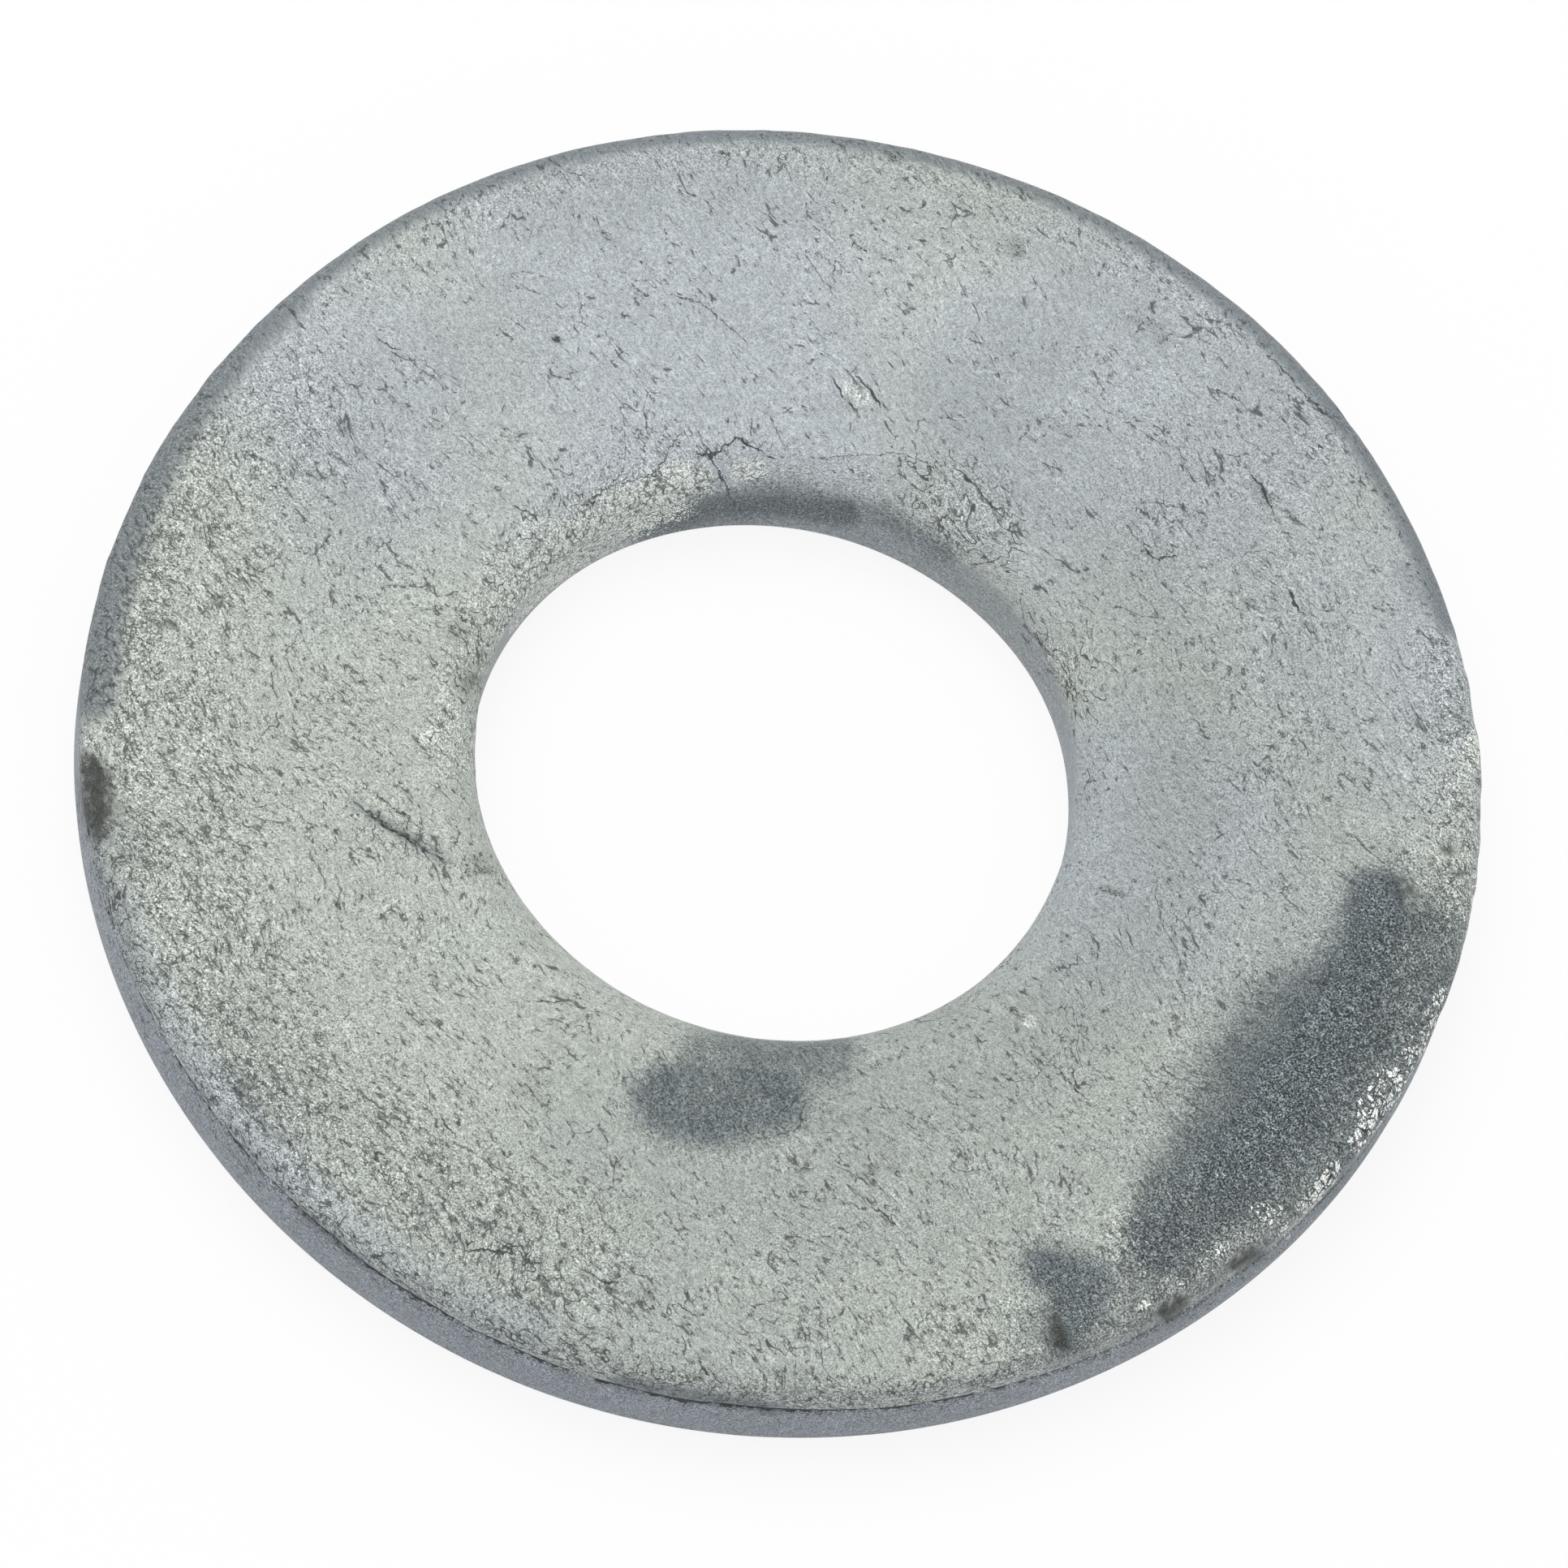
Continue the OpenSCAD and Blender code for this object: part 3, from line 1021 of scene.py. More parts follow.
    def relief(self, points: np.ndarray) -> np.ndarray:
        """Height of the zinc above the even surface, along its normals.

        The swelling, with grains where the coat is crusty or blistered and the single
        lumps on top, held under the peak by a hyperbolic tangent, less the dents, the
        gouge, the chip and the fold.

        Args:
            points: places on the even surface.

        Returns:
            The height at each point.
        """
        x, y, z = np.moveaxis(points, -1, 0)
        start, full = (self.thickness - depth for depth in self.crust_depths)
        upper = smooth_step(start, full, z)
        share = self.base_share + (1.0 - self.base_share) * smooth_step(0.0, self.foot.height, z)
        crusty = np.minimum(self.marked(MarkKind.ROUGH, x, y), 1.0)
        blistered = np.minimum(self.marked(MarkKind.BLISTER_AND_HIGHLIGHT, x, y), 1.0)
        height = share * sum(bumps.waves(points) for bumps in self.swell)
        height += upper * crusty * sum(bumps.grains(points) for bumps in self.crust)
        height += upper * blistered * self.blister.grains(points)
        height += upper * self.marked(MarkKind.LUMP, x, y)
        height = np.where(height > 0.0, self.peak * np.tanh(height / self.peak), height)
        height -= upper * (self.dents(x, y) + self.gouge.taken(x, y))
        height -= self.chip.taken(points, self.rim_radius, self.thickness)
        return height - self.fold.taken(points, self.rim_radius, self.thickness)

    def marked(self, kind: MarkKind, x: np.ndarray, y: np.ndarray) -> np.ndarray:
        """The strongest amount, at each point, of all the marks of one kind."""
        return np.max([mark.cover(x, y) for mark in MARKS[kind]], axis=0)

    def painted(self, points: np.ndarray) -> dict[str, np.ndarray]:
        """The marks as values at the vertices, for the finish to read.

        A mark was placed where the photograph shows it, as if all of the washer lay in
        the plane of its upper face. So each point is first moved into that plane along
        the camera's axis, and marks end where the surface turns away from the camera. Only
        the speckled band along the rim, grime and painted shade, runs on over the roll at
        the far side.

        Args:
            points: places on the even surface.

        Returns:
            For each attribute's name, its value at each point. "side" is the distance to
            the nearest crack or the fold, with a sign for the side, and "wall" the share
            of the walls' colour, which is partly painted shade.
        """
        x, y, z = np.moveaxis(points, -1, 0)
        tilt = math.radians(CAMERA_TILT)
        seen_y = y - math.tan(tilt) * (self.thickness - z)
        normal = self.normals(points)
        toward_camera = normal @ np.array([0.0, -math.sin(tilt), math.cos(tilt)])
        facing = smooth_step(0.0, self.turned_away, toward_camera)
        values = {
            kind.value: self.marked(kind, x, seen_y) for kind in MARKS if kind is not MarkKind.LUMP
        }
        # The rim band, grime and painted shade, stays on the roll that turns away from the camera
        for name in values.keys() - {MarkKind.RIM_GRIME_AND_SHADE.value}:
            values[name] *= facing
        outer = np.hypot(x, y) > self.rim_radius - self.wall_shade.rim_reach
        above_fold = self.fold.above(points, self.thickness)
        by_fold = outer & (np.abs(above_fold) < self.fold.reach)
        boldness = self.fold.boldness.at(np.arctan2(y, x))
        side = np.clip(self.nearest_crack(x, seen_y), -1.0, 1.0)
        values["side"] = np.where(by_fold, above_fold, side)
        values["crack"] = np.where(by_fold, boldness, values["crack"])
        values["wall"] = self.wall_shade.at(self.thickness - z, normal[..., 2], above_fold, outer)
        return values

    def nearest_crack(self, x: np.ndarray, y: np.ndarray) -> np.ndarray:
        """Distance to the nearest crack, below zero on one of its sides.

        Args:
            x: X of each point.
            y: Y of each point.

        Returns:
            The distance at each point.
        """
        nearest = np.full(x.shape, np.inf)
        for mark in CRACKS:
            _, signed = mark.nearness(x, y)
            nearest = np.where(np.abs(signed) < np.abs(nearest), signed, nearest)
        return nearest

    def build(self, finish: "ZincCoat") -> bpy.types.Object:
        """Makes the skin's mesh with its marks as attributes, and dresses it.

        Args:
            finish: the finish that dresses it.

        Returns:
            The piece.
        """
        even = self.surface()
        points = even + self.relief(even)[..., None] * self.normals(even)
        rows, turns = points.shape[:2]
        index = np.arange(rows * turns).reshape(rows, turns)
        right, ahead = np.roll(index, -1, axis=0), np.roll(index, -1, axis=1)
        faces = np.stack([index, right, np.roll(right, -1, axis=1), ahead], axis=-1).reshape(-1, 4)
        mesh = bpy.data.meshes.new(NODE + "_skin")
        mesh.vertices.add(rows * turns)
        mesh.vertices.foreach_set("co", (points * MM).ravel())
        mesh.loops.add(faces.size)
        mesh.loops.foreach_set("vertex_index", faces.ravel())
        mesh.polygons.add(len(faces))
        mesh.polygons.foreach_set("loop_start", np.arange(0, faces.size, 4))
        mesh.polygons.foreach_set("use_smooth", np.ones(len(faces), dtype=bool))
        mesh.update(calc_edges=True)
        mesh.validate()
        for name, values in self.painted(even).items():
            layer = mesh.attributes.new(name, "FLOAT", "POINT")
            layer.data.foreach_set("value", values.ravel())
        piece = bpy.data.objects.new("zinc_skin", mesh)
        bpy.context.scene.collection.objects.link(piece)
        mesh.materials.append(finish.material())
        return piece


@dataclass(frozen=True)
class Wire:
    """A shader value that takes part in Python expressions.

    Attributes:
        board: the board that the value's node stands on.
        socket: the output socket that carries it.
    """

    board: "Board"
    socket: bpy.types.NodeSocket

    def math(self, operation: str, *operands: "Wire | float") -> "Wire":
        """Adds a Math node that works on the given operands."""
        return self.board.add("ShaderNodeMath", {"operation": operation}, dict(enumerate(operands)))

    def __add__(self, other: "Wire | float") -> "Wire":
        """The sum of two values."""
        return self.math("ADD", self, other)

    def __sub__(self, other: "Wire | float") -> "Wire":
        """This value less another."""
        return self.math("SUBTRACT", self, other)

    def __rsub__(self, other: float) -> "Wire":
        """A number less this value."""
        return self.math("SUBTRACT", other, self)

    def __mul__(self, other: "Wire | float") -> "Wire":
        """The product of two values."""
        return self.math("MULTIPLY", self, other)

    def __rpow__(self, base: float) -> "Wire":
        """A number to the power of this value."""
        return self.math("POWER", base, self)

    def __abs__(self) -> "Wire":
        """This value without its sign."""
        return self.math("ABSOLUTE", self)

    __radd__ = __add__
    __rmul__ = __mul__

    def at_most(self, limit: "Wire | float") -> "Wire":
        """This value, or the limit where that is smaller."""
        return self.math("MINIMUM", self, limit)

    def rise(self, low: float, high: float) -> "Wire":
        """A smooth step from 0 at low to 1 at high, or from 1 to 0 where low is the larger.

        Args:
            low: where the step is 0.
            high: where it is 1.

        Returns:
            The step.
        """
        ends = {"From Min": min(low, high), "From Max": max(low, high)}
        ends |= {"To Min": float(low > high), "To Max": float(low < high)}
        settings = {"interpolation_type": "SMOOTHSTEP"}
        return self.board.add("ShaderNodeMapRange", settings, {"Value": self} | ends)


@dataclass(frozen=True)
class Board:
    """A material's node tree, on which nodes are laid.

    Attributes:
        tree: the node tree.
    """

    tree: bpy.types.NodeTree

    def add(self, kind: str, settings: dict, sockets: dict, output: int | str = 0) -> Wire:
        """Lays one node.

        Args:
            kind: the node's type.
            settings: the node's own properties, set first.
            sockets: for an input's name or number, its value or the Wire that feeds it.
            output: number or name of the output that is handed back.

        Returns:
            The node's output as a Wire.
        """
        node = self.tree.nodes.new(kind)
        for name, value in settings.items():
            setattr(node, name, value)
        for name, value in sockets.items():
            if isinstance(value, Wire):
                self.tree.links.new(value.socket, node.inputs[name])
            else:
                node.inputs[name].default_value = value
        return Wire(self, node.outputs[output])

    def noise(self, place: Wire, scale: float, detail: float = 2.0, roughness: float = 0.5) -> Wire:
        """Cloudy noise round 0.

        Args:
            place: the point.
            scale: how many clouds a millimetre holds.
            detail: how many finer layers lie over them.
            roughness: how strong those layers are.

        Returns:
            The noise, from -0.5 to 0.5 and mostly near 0.
        """
        sockets = {"Vector": place, "Scale": scale, "Detail": detail, "Roughness": roughness}
        return self.add("ShaderNodeTexNoise", {}, sockets) - 0.5

    def bent(self, place: Wire, scale: float, reach: float) -> Wire:
        """The place moved by cloudy noise.

        Args:
            place: the point.
            scale: how many clouds a millimetre holds.
            reach: furthest that the point moves along each axis.

        Returns:
            The moved point.
        """
        sockets = {"Vector": place, "Scale": scale, "Detail": 1.0}
        drift = self.add("ShaderNodeTexNoise", {}, sockets, "Color")
        settings = {"operation": "MULTIPLY_ADD"}
        return self.add("ShaderNodeVectorMath", settings, {0: drift, 1: (reach,) * 3, 2: place})

    def cell_edge(self, place: Wire, scale: float) -> Wire:
        """Distance to the nearest edge between cells, in cells, with this many to a millimetre."""
        settings = {"feature": "DISTANCE_TO_EDGE"}
        return self.add("ShaderNodeTexVoronoi", settings, {"Vector": place, "Scale": scale})

    def mix(
        self, factor: Wire | float, first: Wire | Colour, second: Wire | Colour, how: str = "MIX"
    ) -> Wire:
        """A mix of two colours, on the sockets that a Mix node keeps for them.

        Args:
            factor: share of the second colour.
            first: one colour.
            second: the other.
            how: the blend type.

        Returns:
            The mixed colour.
        """
        colours = [c if isinstance(c, Wire) else (*c, 1.0) for c in (first, second)]
        settings = {"data_type": "RGBA", "blend_type": how}
        return self.add("ShaderNodeMix", settings, {0: factor, 6: colours[0], 7: colours[1]}, 2)

    def largest(self, first: Wire, *others: Wire) -> Wire:
        """The largest of several values.

        Args:
            first: one value.
            others: the rest.

        Returns:
            The largest at each point.
        """
        for other in others:
            first = first.math("MAXIMUM", first, other)
        return first

    def attribute(self, name: str) -> Wire:
        """A value that the mesh carries at its vertices."""
        return self.add("ShaderNodeAttribute", {"attribute_name": name}, {}, "Fac")

    def plug(self, sockets: dict[str, Wire], node: str) -> None:
        """Feeds a standing node's inputs.

        Args:
            sockets: for each input's name, what feeds it.
            node: the node's name.
        """
        for name, wire in sockets.items():
            self.tree.links.new(wire.socket, self.tree.nodes[node].inputs[name])


@dataclass(frozen=True)
class Patterns:
    """What the finish is worked out from: each point's place, and the noise and marks there.

    Attributes:
        board: the board that all of them stand on.
        along: the place, bent and drawn out along the grain.
        clouds: noise some 3 mm wide.
        mottle: noise some 0.8 mm wide.
        blotch: noise some 0.2 mm wide.
        crumb: noise some 0.04 mm wide.
        grain: fine noise along the grain.
        gap: coarser noise along the grain, which breaks its marks off.
        pebbles: distance to the edges of the coat's small pebbles.
        cells: distance to the edges of the crust's cells.
        bloom: where the white blisters and the painted rim highlight break through, from 0 to 1.
        mark: the mesh's own values by name.
    """

    board: Board
    along: Wire
    clouds: Wire
    mottle: Wire
    blotch: Wire
    crumb: Wire
    grain: Wire
    gap: Wire
    pebbles: Wire
    cells: Wire
    bloom: Wire
    mark: dict[str, Wire]


@dataclass(frozen=True)
class Stroke:
    """How one kind of dark line in the coat is drawn.

    Attributes:
        width: value of the line's pattern at which it starts and at which it is full.
        gate: value of the pattern that breaks it up at which it starts and is full.
        strength: how dark it is.
    """

    width: tuple[float, float]
    gate: tuple[float, float]
    strength: float

    def drawn(self, pattern: Wire, breaks: Wire) -> Wire:
        """The step over the width times the step over the gate times the strength."""
        return pattern.rise(*self.width) * breaks.rise(*self.gate) * self.strength


@dataclass(frozen=True)
class ZincCoat:
    """Weathered hot-dip zinc: a pale grey ground, fine grain, crackle and dark patches.

    Attributes:
        green_ground: colour of the ground where it leans to green.
        blue_ground: colour of the ground where it leans to blue.
        shade: colour of the dull bluish clouds, and of the painted shade in the gouge and by the chip.
        stain: colour of the bare, dark patches, and of the darker streaks on the bore's far wall.
        dirt: colour of the dirt in the hollows, and of the painted shade in the dents and the gouge.
        chalk: colour of the chalky crust, and of painted highlights on a lump and a dent's edge.
        blister: colour of the white blisters at the rim, and of the painted highlight along its
        right-hand edge.
        pit: colour seen inside cracks and pinholes.
        wall: colour of the sheared walls, darker and bluer than the face, partly as painted shade.
        soot: colour of the speckled band along the rim, grime and painted shade on the roll
        that turns away from the light.
        flow: heading of the grain on the face, in degrees.
        stretch: how much longer the grain is than it is wide.
        ground_tone: brightness of the ground, as a factor of its colours.
        speckle: base of the power that makes the crumbs bright and dark, in part painted glint
        and shade.
        pinholes: the gaps between the pebbles.
        ticks: the short, fine lines along the grain.
        creases: the lines where the coat is wrinkled.
        rifts: the longer lines, which are the edges of wide cells.
        crackle: the network where the coat is crusty.
        cracks: the cracks that were placed one by one, and the fold.
        chalk_gaps: the network in the chalk.
        metallic: how much of the coat reflects as bare metal.
        roughness: mean roughness of the coat.
        crumb_height: height of the crumbs.
    """

    green_ground: Colour = linear(183, 189, 182)
    blue_ground: Colour = linear(178, 185, 189)
    shade: Colour = linear(147, 154, 152)
    stain: Colour = linear(86, 95, 99)
    dirt: Colour = linear(56, 58, 55)
    chalk: Colour = linear(220, 225, 219)
    blister: Colour = linear(226, 231, 227)
    pit: Colour = linear(46, 51, 49)
    wall: Colour = linear(135, 142, 150)
    soot: Colour = linear(104, 112, 118)
    flow: float = -40.0
    stretch: float = 2.2
    ground_tone: float = 1.125
    speckle: float = 55.0
    pinholes: Stroke = Stroke((0.12, 0.03), (0.06, 0.20), 0.7)
    ticks: Stroke = Stroke((0.016, 0.003), (0.05, 0.16), 0.9)
    creases: Stroke = Stroke((0.018, 0.004), (0.45, 0.75), 0.85)
    rifts: Stroke = Stroke((0.018, 0.003), (-0.03, 0.12), 0.75)
    crackle: Stroke = Stroke((0.075, 0.015), (0.45, 0.9), 0.7)
    cracks: Stroke = Stroke((0.026, 0.004), (0.55, 0.85), 0.9)
    chalk_gaps: Stroke = Stroke((0.10, 0.015), (0.10, 0.5), 0.75)
    metallic: float = 0.40
    roughness: float = 0.48
    crumb_height: float = 0.05

    def material(self) -> bpy.types.Material:
        """Builds the finish.

        Returns:
            The material.
        """
        material = bpy.data.materials.new("galvanised_zinc")
        material.use_nodes = True
        board = Board(material.node_tree)
        zinc = self.patterns(board)
        lines = self.lines(zinc)
        tone = self.tone(zinc)
        grey = board.add("ShaderNodeCombineColor", {}, {0: tone, 1: tone, 2: tone})
        colour = board.mix(1.0, self.paint(zinc), grey, "MULTIPLY")
        bump = {"Height": zinc.crumb * self.crumb_height, "Distance": MM, "Strength": 1.0}
        board.plug({
            "Base Color": board.mix(lines, colour, self.pit),
            "Roughness": self.roughness + 0.3 * zinc.crumb + 0.15 * lines,
            "Normal": board.add("ShaderNodeBump", {}, bump),
        }, "Principled BSDF")
        shader = material.node_tree.nodes["Principled BSDF"]
        shader.inputs["Metallic"].default_value = self.metallic
        return material

    def patterns(self, board: Board) -> Patterns:
        """Lays the noises that several layers share, and reads the mesh's marks.

        Args:
            board: the board that they are laid on.

        Returns:
            The patterns.
        """
        metres = board.add("ShaderNodeTexCoord", {}, {}, "Object")
        scaled = {0: metres, "Scale": 1.0 / MM}
        place = board.add("ShaderNodeVectorMath", {"operation": "SCALE"}, scaled)
        along = board.add("ShaderNodeMapping", {"vector_type": "TEXTURE"}, {
            "Vector": board.bent(place, 0.35, 1.3),
            "Rotation": (0.0, 0.0, math.radians(self.flow)),
            "Scale": (self.stretch, 1.0, 1.0),
        })
        names = [kind.value for kind in MARKS if kind is not MarkKind.LUMP] + ["side", "wall"]
        mark = {name: board.attribute(name) for name in names}
        blotch = board.noise(place, 4.5, 1.0, 0.6)
        crumb = board.noise(place, 26.0, 1.0, 1.0)
        gap = board.noise(along, 8.5, 1.0, 0.8)
        bloom = (mark["blister"] + blotch * 2.4 + gap * 1.4 + crumb * 0.8).rise(0.55, 0.85)
        return Patterns(
            board=board,
            along=along,
            clouds=board.noise(place, 0.30),
            mottle=board.noise(place, 1.2, 2.0, 0.6),
            blotch=blotch,
            crumb=crumb,
            grain=board.noise(along, 15.0, 1.0, 0.8),
            gap=gap,
            pebbles=board.cell_edge(board.bent(along, 18.0, 0.09), 11.0),
            cells=board.cell_edge(board.bent(place, 6.0, 0.2), 5.0),
            bloom=bloom * mark["blister"].rise(0.0, 0.3),
            mark=mark,
        )

    def paint(self, zinc: Patterns) -> Wire:
        """The coat's colours, laid over one another as they would be brushed on.

        Args:
            zinc: the patterns.

        Returns:
            The colour before its tone and the dark lines.
        """
        mark, crumb, blotch = zinc.mark, zinc.crumb, zinc.blotch
        # Grime and painted shade along the rim
        soot = (mark["soot"] + crumb * 1.6).rise(0.15, 0.9)
        stain = (mark["stain"] + zinc.mottle * 0.35 + blotch * 0.35 + crumb * 0.5).rise(0.05, 0.95)
        chalk = (mark["chalk"] + crumb * 1.8 + blotch * 0.8).rise(0.45, 0.75)
        dirt = (mark["dirt"] + crumb * 2.4 + blotch * 1.2).rise(0.25, 0.95)
        layers = (
            ((mark["blue"] + zinc.clouds * 0.9).rise(0.0, 0.9), self.blue_ground),
            # Dull clouds, and painted shade in the gouge and by the chip
            (mark["shade"] * (zinc.clouds + 1.0), self.shade),
            # The walls' colour, partly painted shade
            (mark["wall"], self.wall),
            (soot * 0.8, self.soot),
            (stain * 0.96, self.stain),
            # Chalky crust, and painted highlights on a lump and a dent's edge
            (chalk * 0.85, self.chalk),
            # Blisters, and painted highlight along the rim's right-hand edge
            (zinc.bloom * zinc.cells.rise(0.02, 0.2), self.blister),
            # Dirt, and painted shade in the dents and the gouge
            (dirt * 0.95, self.dirt),
        )
        colour = self.green_ground
        for share, paint in layers:
            colour = zinc.board.mix(share, colour, paint)
        return colour

    def tone(self, zinc: Patterns) -> Wire:
        """How bright the coat is, as a factor of its colour.

        Pebbles, mottling and grain are added up, and the finest crumbs multiply the sum by
        a power, whose upward swing is cut off so that no crumb glares. The bright and dark
        flecks are partly the coat's own tone and partly painted light and shade on its relief.

        Args:
            zinc: the patterns.

        Returns:
            The factor.
        """
        stain, rough = zinc.mark["stain"], zinc.mark["rough"]
        pebble = zinc.pebbles.rise(0.0, 0.35)
        curl = abs(zinc.crumb).rise(0.05, 0.0)
        tone = (
            self.ground_tone
            + (pebble - 0.6) * (0.05 + 0.2 * rough)
            + zinc.mottle * 0.22
            + zinc.blotch * (0.25 + 0.45 * stain)
            + zinc.grain * (0.85 + 0.5 * stain)
            + (curl - 0.20) * (0.14 + 0.35 * stain)
        )
        # The crumbs' swing is partly painted glint and shade on the fine relief
        swing = zinc.crumb * (0.38 + 0.64 * rough + 1.3 * stain + 0.5 * zinc.mark["wall"])
        return tone * self.speckle ** swing.at_most(0.26 + 0.13 * stain)

    def lines(self, zinc: Patterns) -> Wire:
        """The dark lines and pinholes in the coat.

        Each kind of line is the middle of a noise or the edge of a cell, thinned by a
        narrow step and broken up by a second pattern. The lines are fainter in the
        stains, and the gaps in the blisters and in the chalk lie over them.

        Args:
            zinc: the patterns.

        Returns:
            How dark they are, from 0 to 1.
        """
        board, mark, along, cells = zinc.board, zinc.mark, zinc.along, zinc.cells
        mottle, blotch, crumb, gap = zinc.mottle, zinc.blotch, zinc.crumb, zinc.gap
        face = mark["wall"].rise(0.9, 0.4)
        vein = board.noise(along, 9.0, 1.0, 0.7)
        swirl = board.noise(along, 3.0, 2.0, 0.55)
        web = board.cell_edge(board.bent(board.bent(along, 1.1, 0.6), 7.0, 0.11), 1.7)
        dense = gap + mottle * 0.30 + mark["rough"] * 0.08 - mark["blue"] * 0.05
        wrinkled = mark["wrinkle"] + blotch * 1.8 + crumb
        torn = mottle + gap * 0.8 + mark["rough"] * 0.04 - mark["blue"] * 0.05
        patchy = gap * 1.4 + mottle * 1.2
        wobble = mark["side"] + blotch * 0.16 + zinc.grain * 0.12
        bold = (mark["crack"] - 1.0) * 0.05 + blotch * 0.03
        broken = mark["crack"] + crumb + gap * 1.6 + mottle * 2.0
        found = board.largest(
            self.pinholes.drawn(zinc.pebbles, dense) * face,
            self.ticks.drawn(abs(vein), dense) * face,
            self.creases.drawn(abs(swirl), wrinkled),
            self.rifts.drawn(web - gap * 0.04 - crumb * 0.03, torn) * face,
            self.crackle.drawn(cells, mark["rough"] * 0.55 + patchy) * face,
            self.cracks.drawn(abs(wobble) - bold, broken),
        )
        found = found * (1.0 - 0.45 * mark["stain"].at_most(1.0))
        in_chalk = self.chalk_gaps.drawn(cells, mark["chalk"] - 0.35 + patchy)
        in_chalk = in_chalk * mark["chalk"].rise(0.1, 0.5)
        return board.largest(found, zinc.bloom * cells.rise(0.06, 0.0), in_chalk)


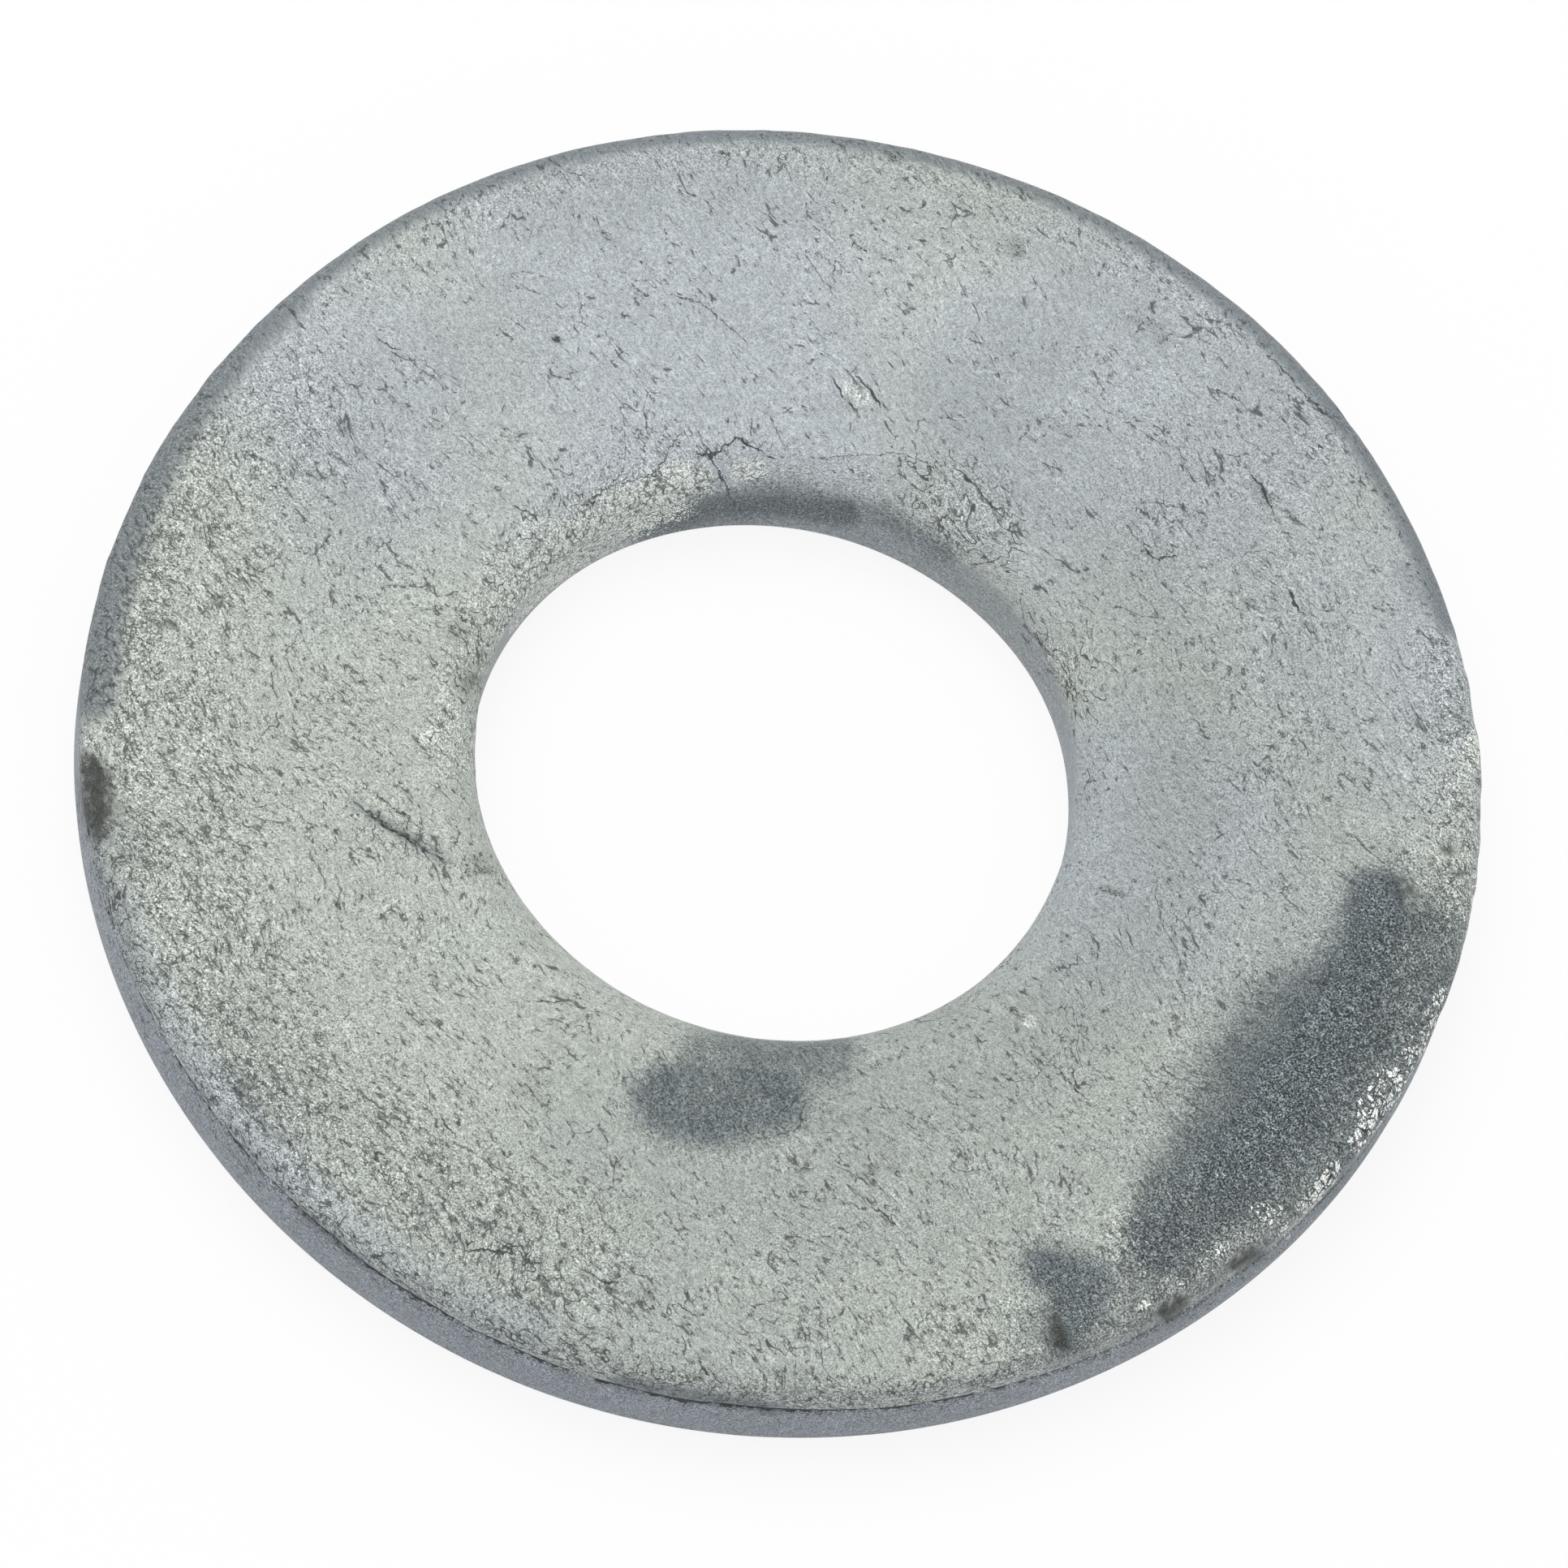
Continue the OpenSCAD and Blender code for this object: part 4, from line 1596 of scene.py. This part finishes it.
@dataclass(frozen=True)
class Studio:
    """The white table, the soft light over it and the photograph's camera.

    Attributes:
        tilt: angle of the camera's axis from the vertical, in degrees.
        roll: turn of the picture about that axis, in degrees.
        distance: from the lens to the middle of the lower face.
        pixels_per_mm: scale of the photograph at that point.
        origin_px: where that point lies in the photograph.
        picture_px: side of the photograph.
        sensor: side of the camera's sensor.
        clip: nearest and furthest that the camera sees, in metres.
        table_side: side of the table, in metres.
        table_colour: colour of the table, as linear light.
        table_glow: share of plain white that the camera sees on the table.
        sky: brightness of the white sky.
        lamp_place: the lamp's place in metres.
        lamp_side: side of the lamp, in metres.
        lamp_power: power of the lamp, in watts.
    """

    tilt: float = CAMERA_TILT
    roll: float = -14.83
    distance: float = 331.6
    pixels_per_mm: float = 67.574
    origin_px: Point = (951.5, 984.5)
    picture_px: float = 1932.0
    sensor: float = 36.0
    clip: tuple[float, float] = (0.01, 5.0)
    table_side: float = 1.6
    table_colour: Colour = (0.94, 0.94, 0.94)
    table_glow: float = 0.88
    sky: float = 0.60
    lamp_place: tuple[float, float, float] = (-0.08, 0.10, 0.36)
    lamp_side: float = 0.30
    lamp_power: float = 0.80

    def camera(self) -> bpy.types.Object:
        """Places the camera: the picture's axes are the world's, tilted back and rolled.

        Returns:
            The camera.
        """
        tilted = Matrix.Rotation(-math.radians(self.tilt), 3, "X")
        turn = Matrix.Rotation(math.radians(self.roll), 3, "Z") @ tilted
        middle = self.picture_px / 2
        aside = (self.origin_px[0] - middle) / self.pixels_per_mm
        below = (self.origin_px[1] - middle) / self.pixels_per_mm
        place = turn.transposed() @ Vector((-aside, below, self.distance)) * MM
        data = bpy.data.cameras.new("camera")
        data.sensor_width = self.sensor
        data.lens = self.sensor * self.distance * self.pixels_per_mm / self.picture_px
        data.clip_start, data.clip_end = self.clip
        camera = bpy.data.objects.new("camera", data)
        camera.matrix_world = Matrix.Translation(place) @ turn.transposed().to_4x4()
        bpy.context.scene.collection.objects.link(camera)
        bpy.context.scene.camera = camera
        return camera

    def table(self) -> bpy.types.Object:
        """Lays the table in the plane of the washer's lower face.

        Returns:
            The table.
        """
        half = self.table_side / 2
        corners = [(-half, -half, 0), (half, -half, 0), (half, half, 0), (-half, half, 0)]
        mesh = bpy.data.meshes.new("table")
        mesh.from_pydata(corners, [], [(0, 1, 2, 3)])
        table = bpy.data.objects.new("table", mesh)
        bpy.context.scene.collection.objects.link(table)
        material = bpy.data.materials.new("table_paper")
        material.use_nodes = True
        shader = material.node_tree.nodes["Principled BSDF"]
        shader.inputs["Base Color"].default_value = (*self.table_colour, 1.0)
        shader.inputs["Roughness"].default_value = 1.0
        shader.inputs["Specular IOR Level"].default_value = 0.0
        board = Board(material.node_tree)
        lit = Wire(board, shader.outputs[0])
        white = board.add("ShaderNodeEmission", {}, {"Color": (1.0, 1.0, 1.0, 1.0), "Strength": 1.0})
        share = self.straight(board) * self.table_glow
        seen = board.add("ShaderNodeMixShader", {}, {0: share, 1: lit, 2: white})
        board.plug({"Surface": seen}, "Material Output")
        mesh.materials.append(material)
        return table

    def straight(self, board: Board) -> Wire:
        """Tells rays from the camera, from gloss or through glass from soft light.

        Args:
            board: the board on which the answer is used.

        Returns:
            1 for the former and 0 for soft light.
        """
        names = ("Is Camera Ray", "Is Glossy Ray", "Is Transmission Ray")
        return board.largest(*(board.add("ShaderNodeLightPath", {}, {}, name) for name in names))

    def light(self) -> None:
        """Hangs one wide lamp over the table and lights the rest from a white sky."""
        world = bpy.data.worlds.new("studio")
        world.use_nodes = True
        board = Board(world.node_tree)
        strength = self.sky + self.straight(board) * (1.0 - self.sky)
        board.plug({"Strength": strength}, "Background")
        board.tree.nodes["Background"].inputs["Color"].default_value = (1.0, 1.0, 1.0, 1.0)
        bpy.context.scene.world = world
        data = bpy.data.lights.new("lamp", "AREA")
        data.shape, data.size, data.energy = "SQUARE", self.lamp_side, self.lamp_power
        lamp = bpy.data.objects.new("lamp", data)
        lamp.location = self.lamp_place
        lamp.rotation_mode = "QUATERNION"
        lamp.rotation_quaternion = (-Vector(self.lamp_place)).to_track_quat("-Z", "Y")
        lamp.visible_camera = False
        bpy.context.scene.collection.objects.link(lamp)


def main() -> None:
    """Builds the washer from the frame's sizes, dresses it and sets the scene."""
    logging.basicConfig(level=logging.INFO, format="%(message)s")
    low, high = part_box(NODE)
    mount = next(row for row in frame["record"]["mounts"] if row["name"] == "bore")
    skin = WasherSkin(
        rim_radius=(high[0] - low[0]) / 2 / MM,
        thickness=(high[2] - low[2]) / MM,
        bore_radius=mount["dims"]["r_mm"],
        bore_centre=(mount["pos_m"][0] / MM, mount["pos_m"][1] / MM),
    )
    piece = skin.build(ZincCoat())
    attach(piece, BODY)
    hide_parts(NODE)
    LOG.info("%s: %d faces", piece.name, len(piece.data.polygons))
    studio = Studio()
    studio.table()
    studio.light()
    studio.camera()
    bpy.context.scene.view_settings.view_transform = "Standard"


if __name__ == "__main__":
    main()
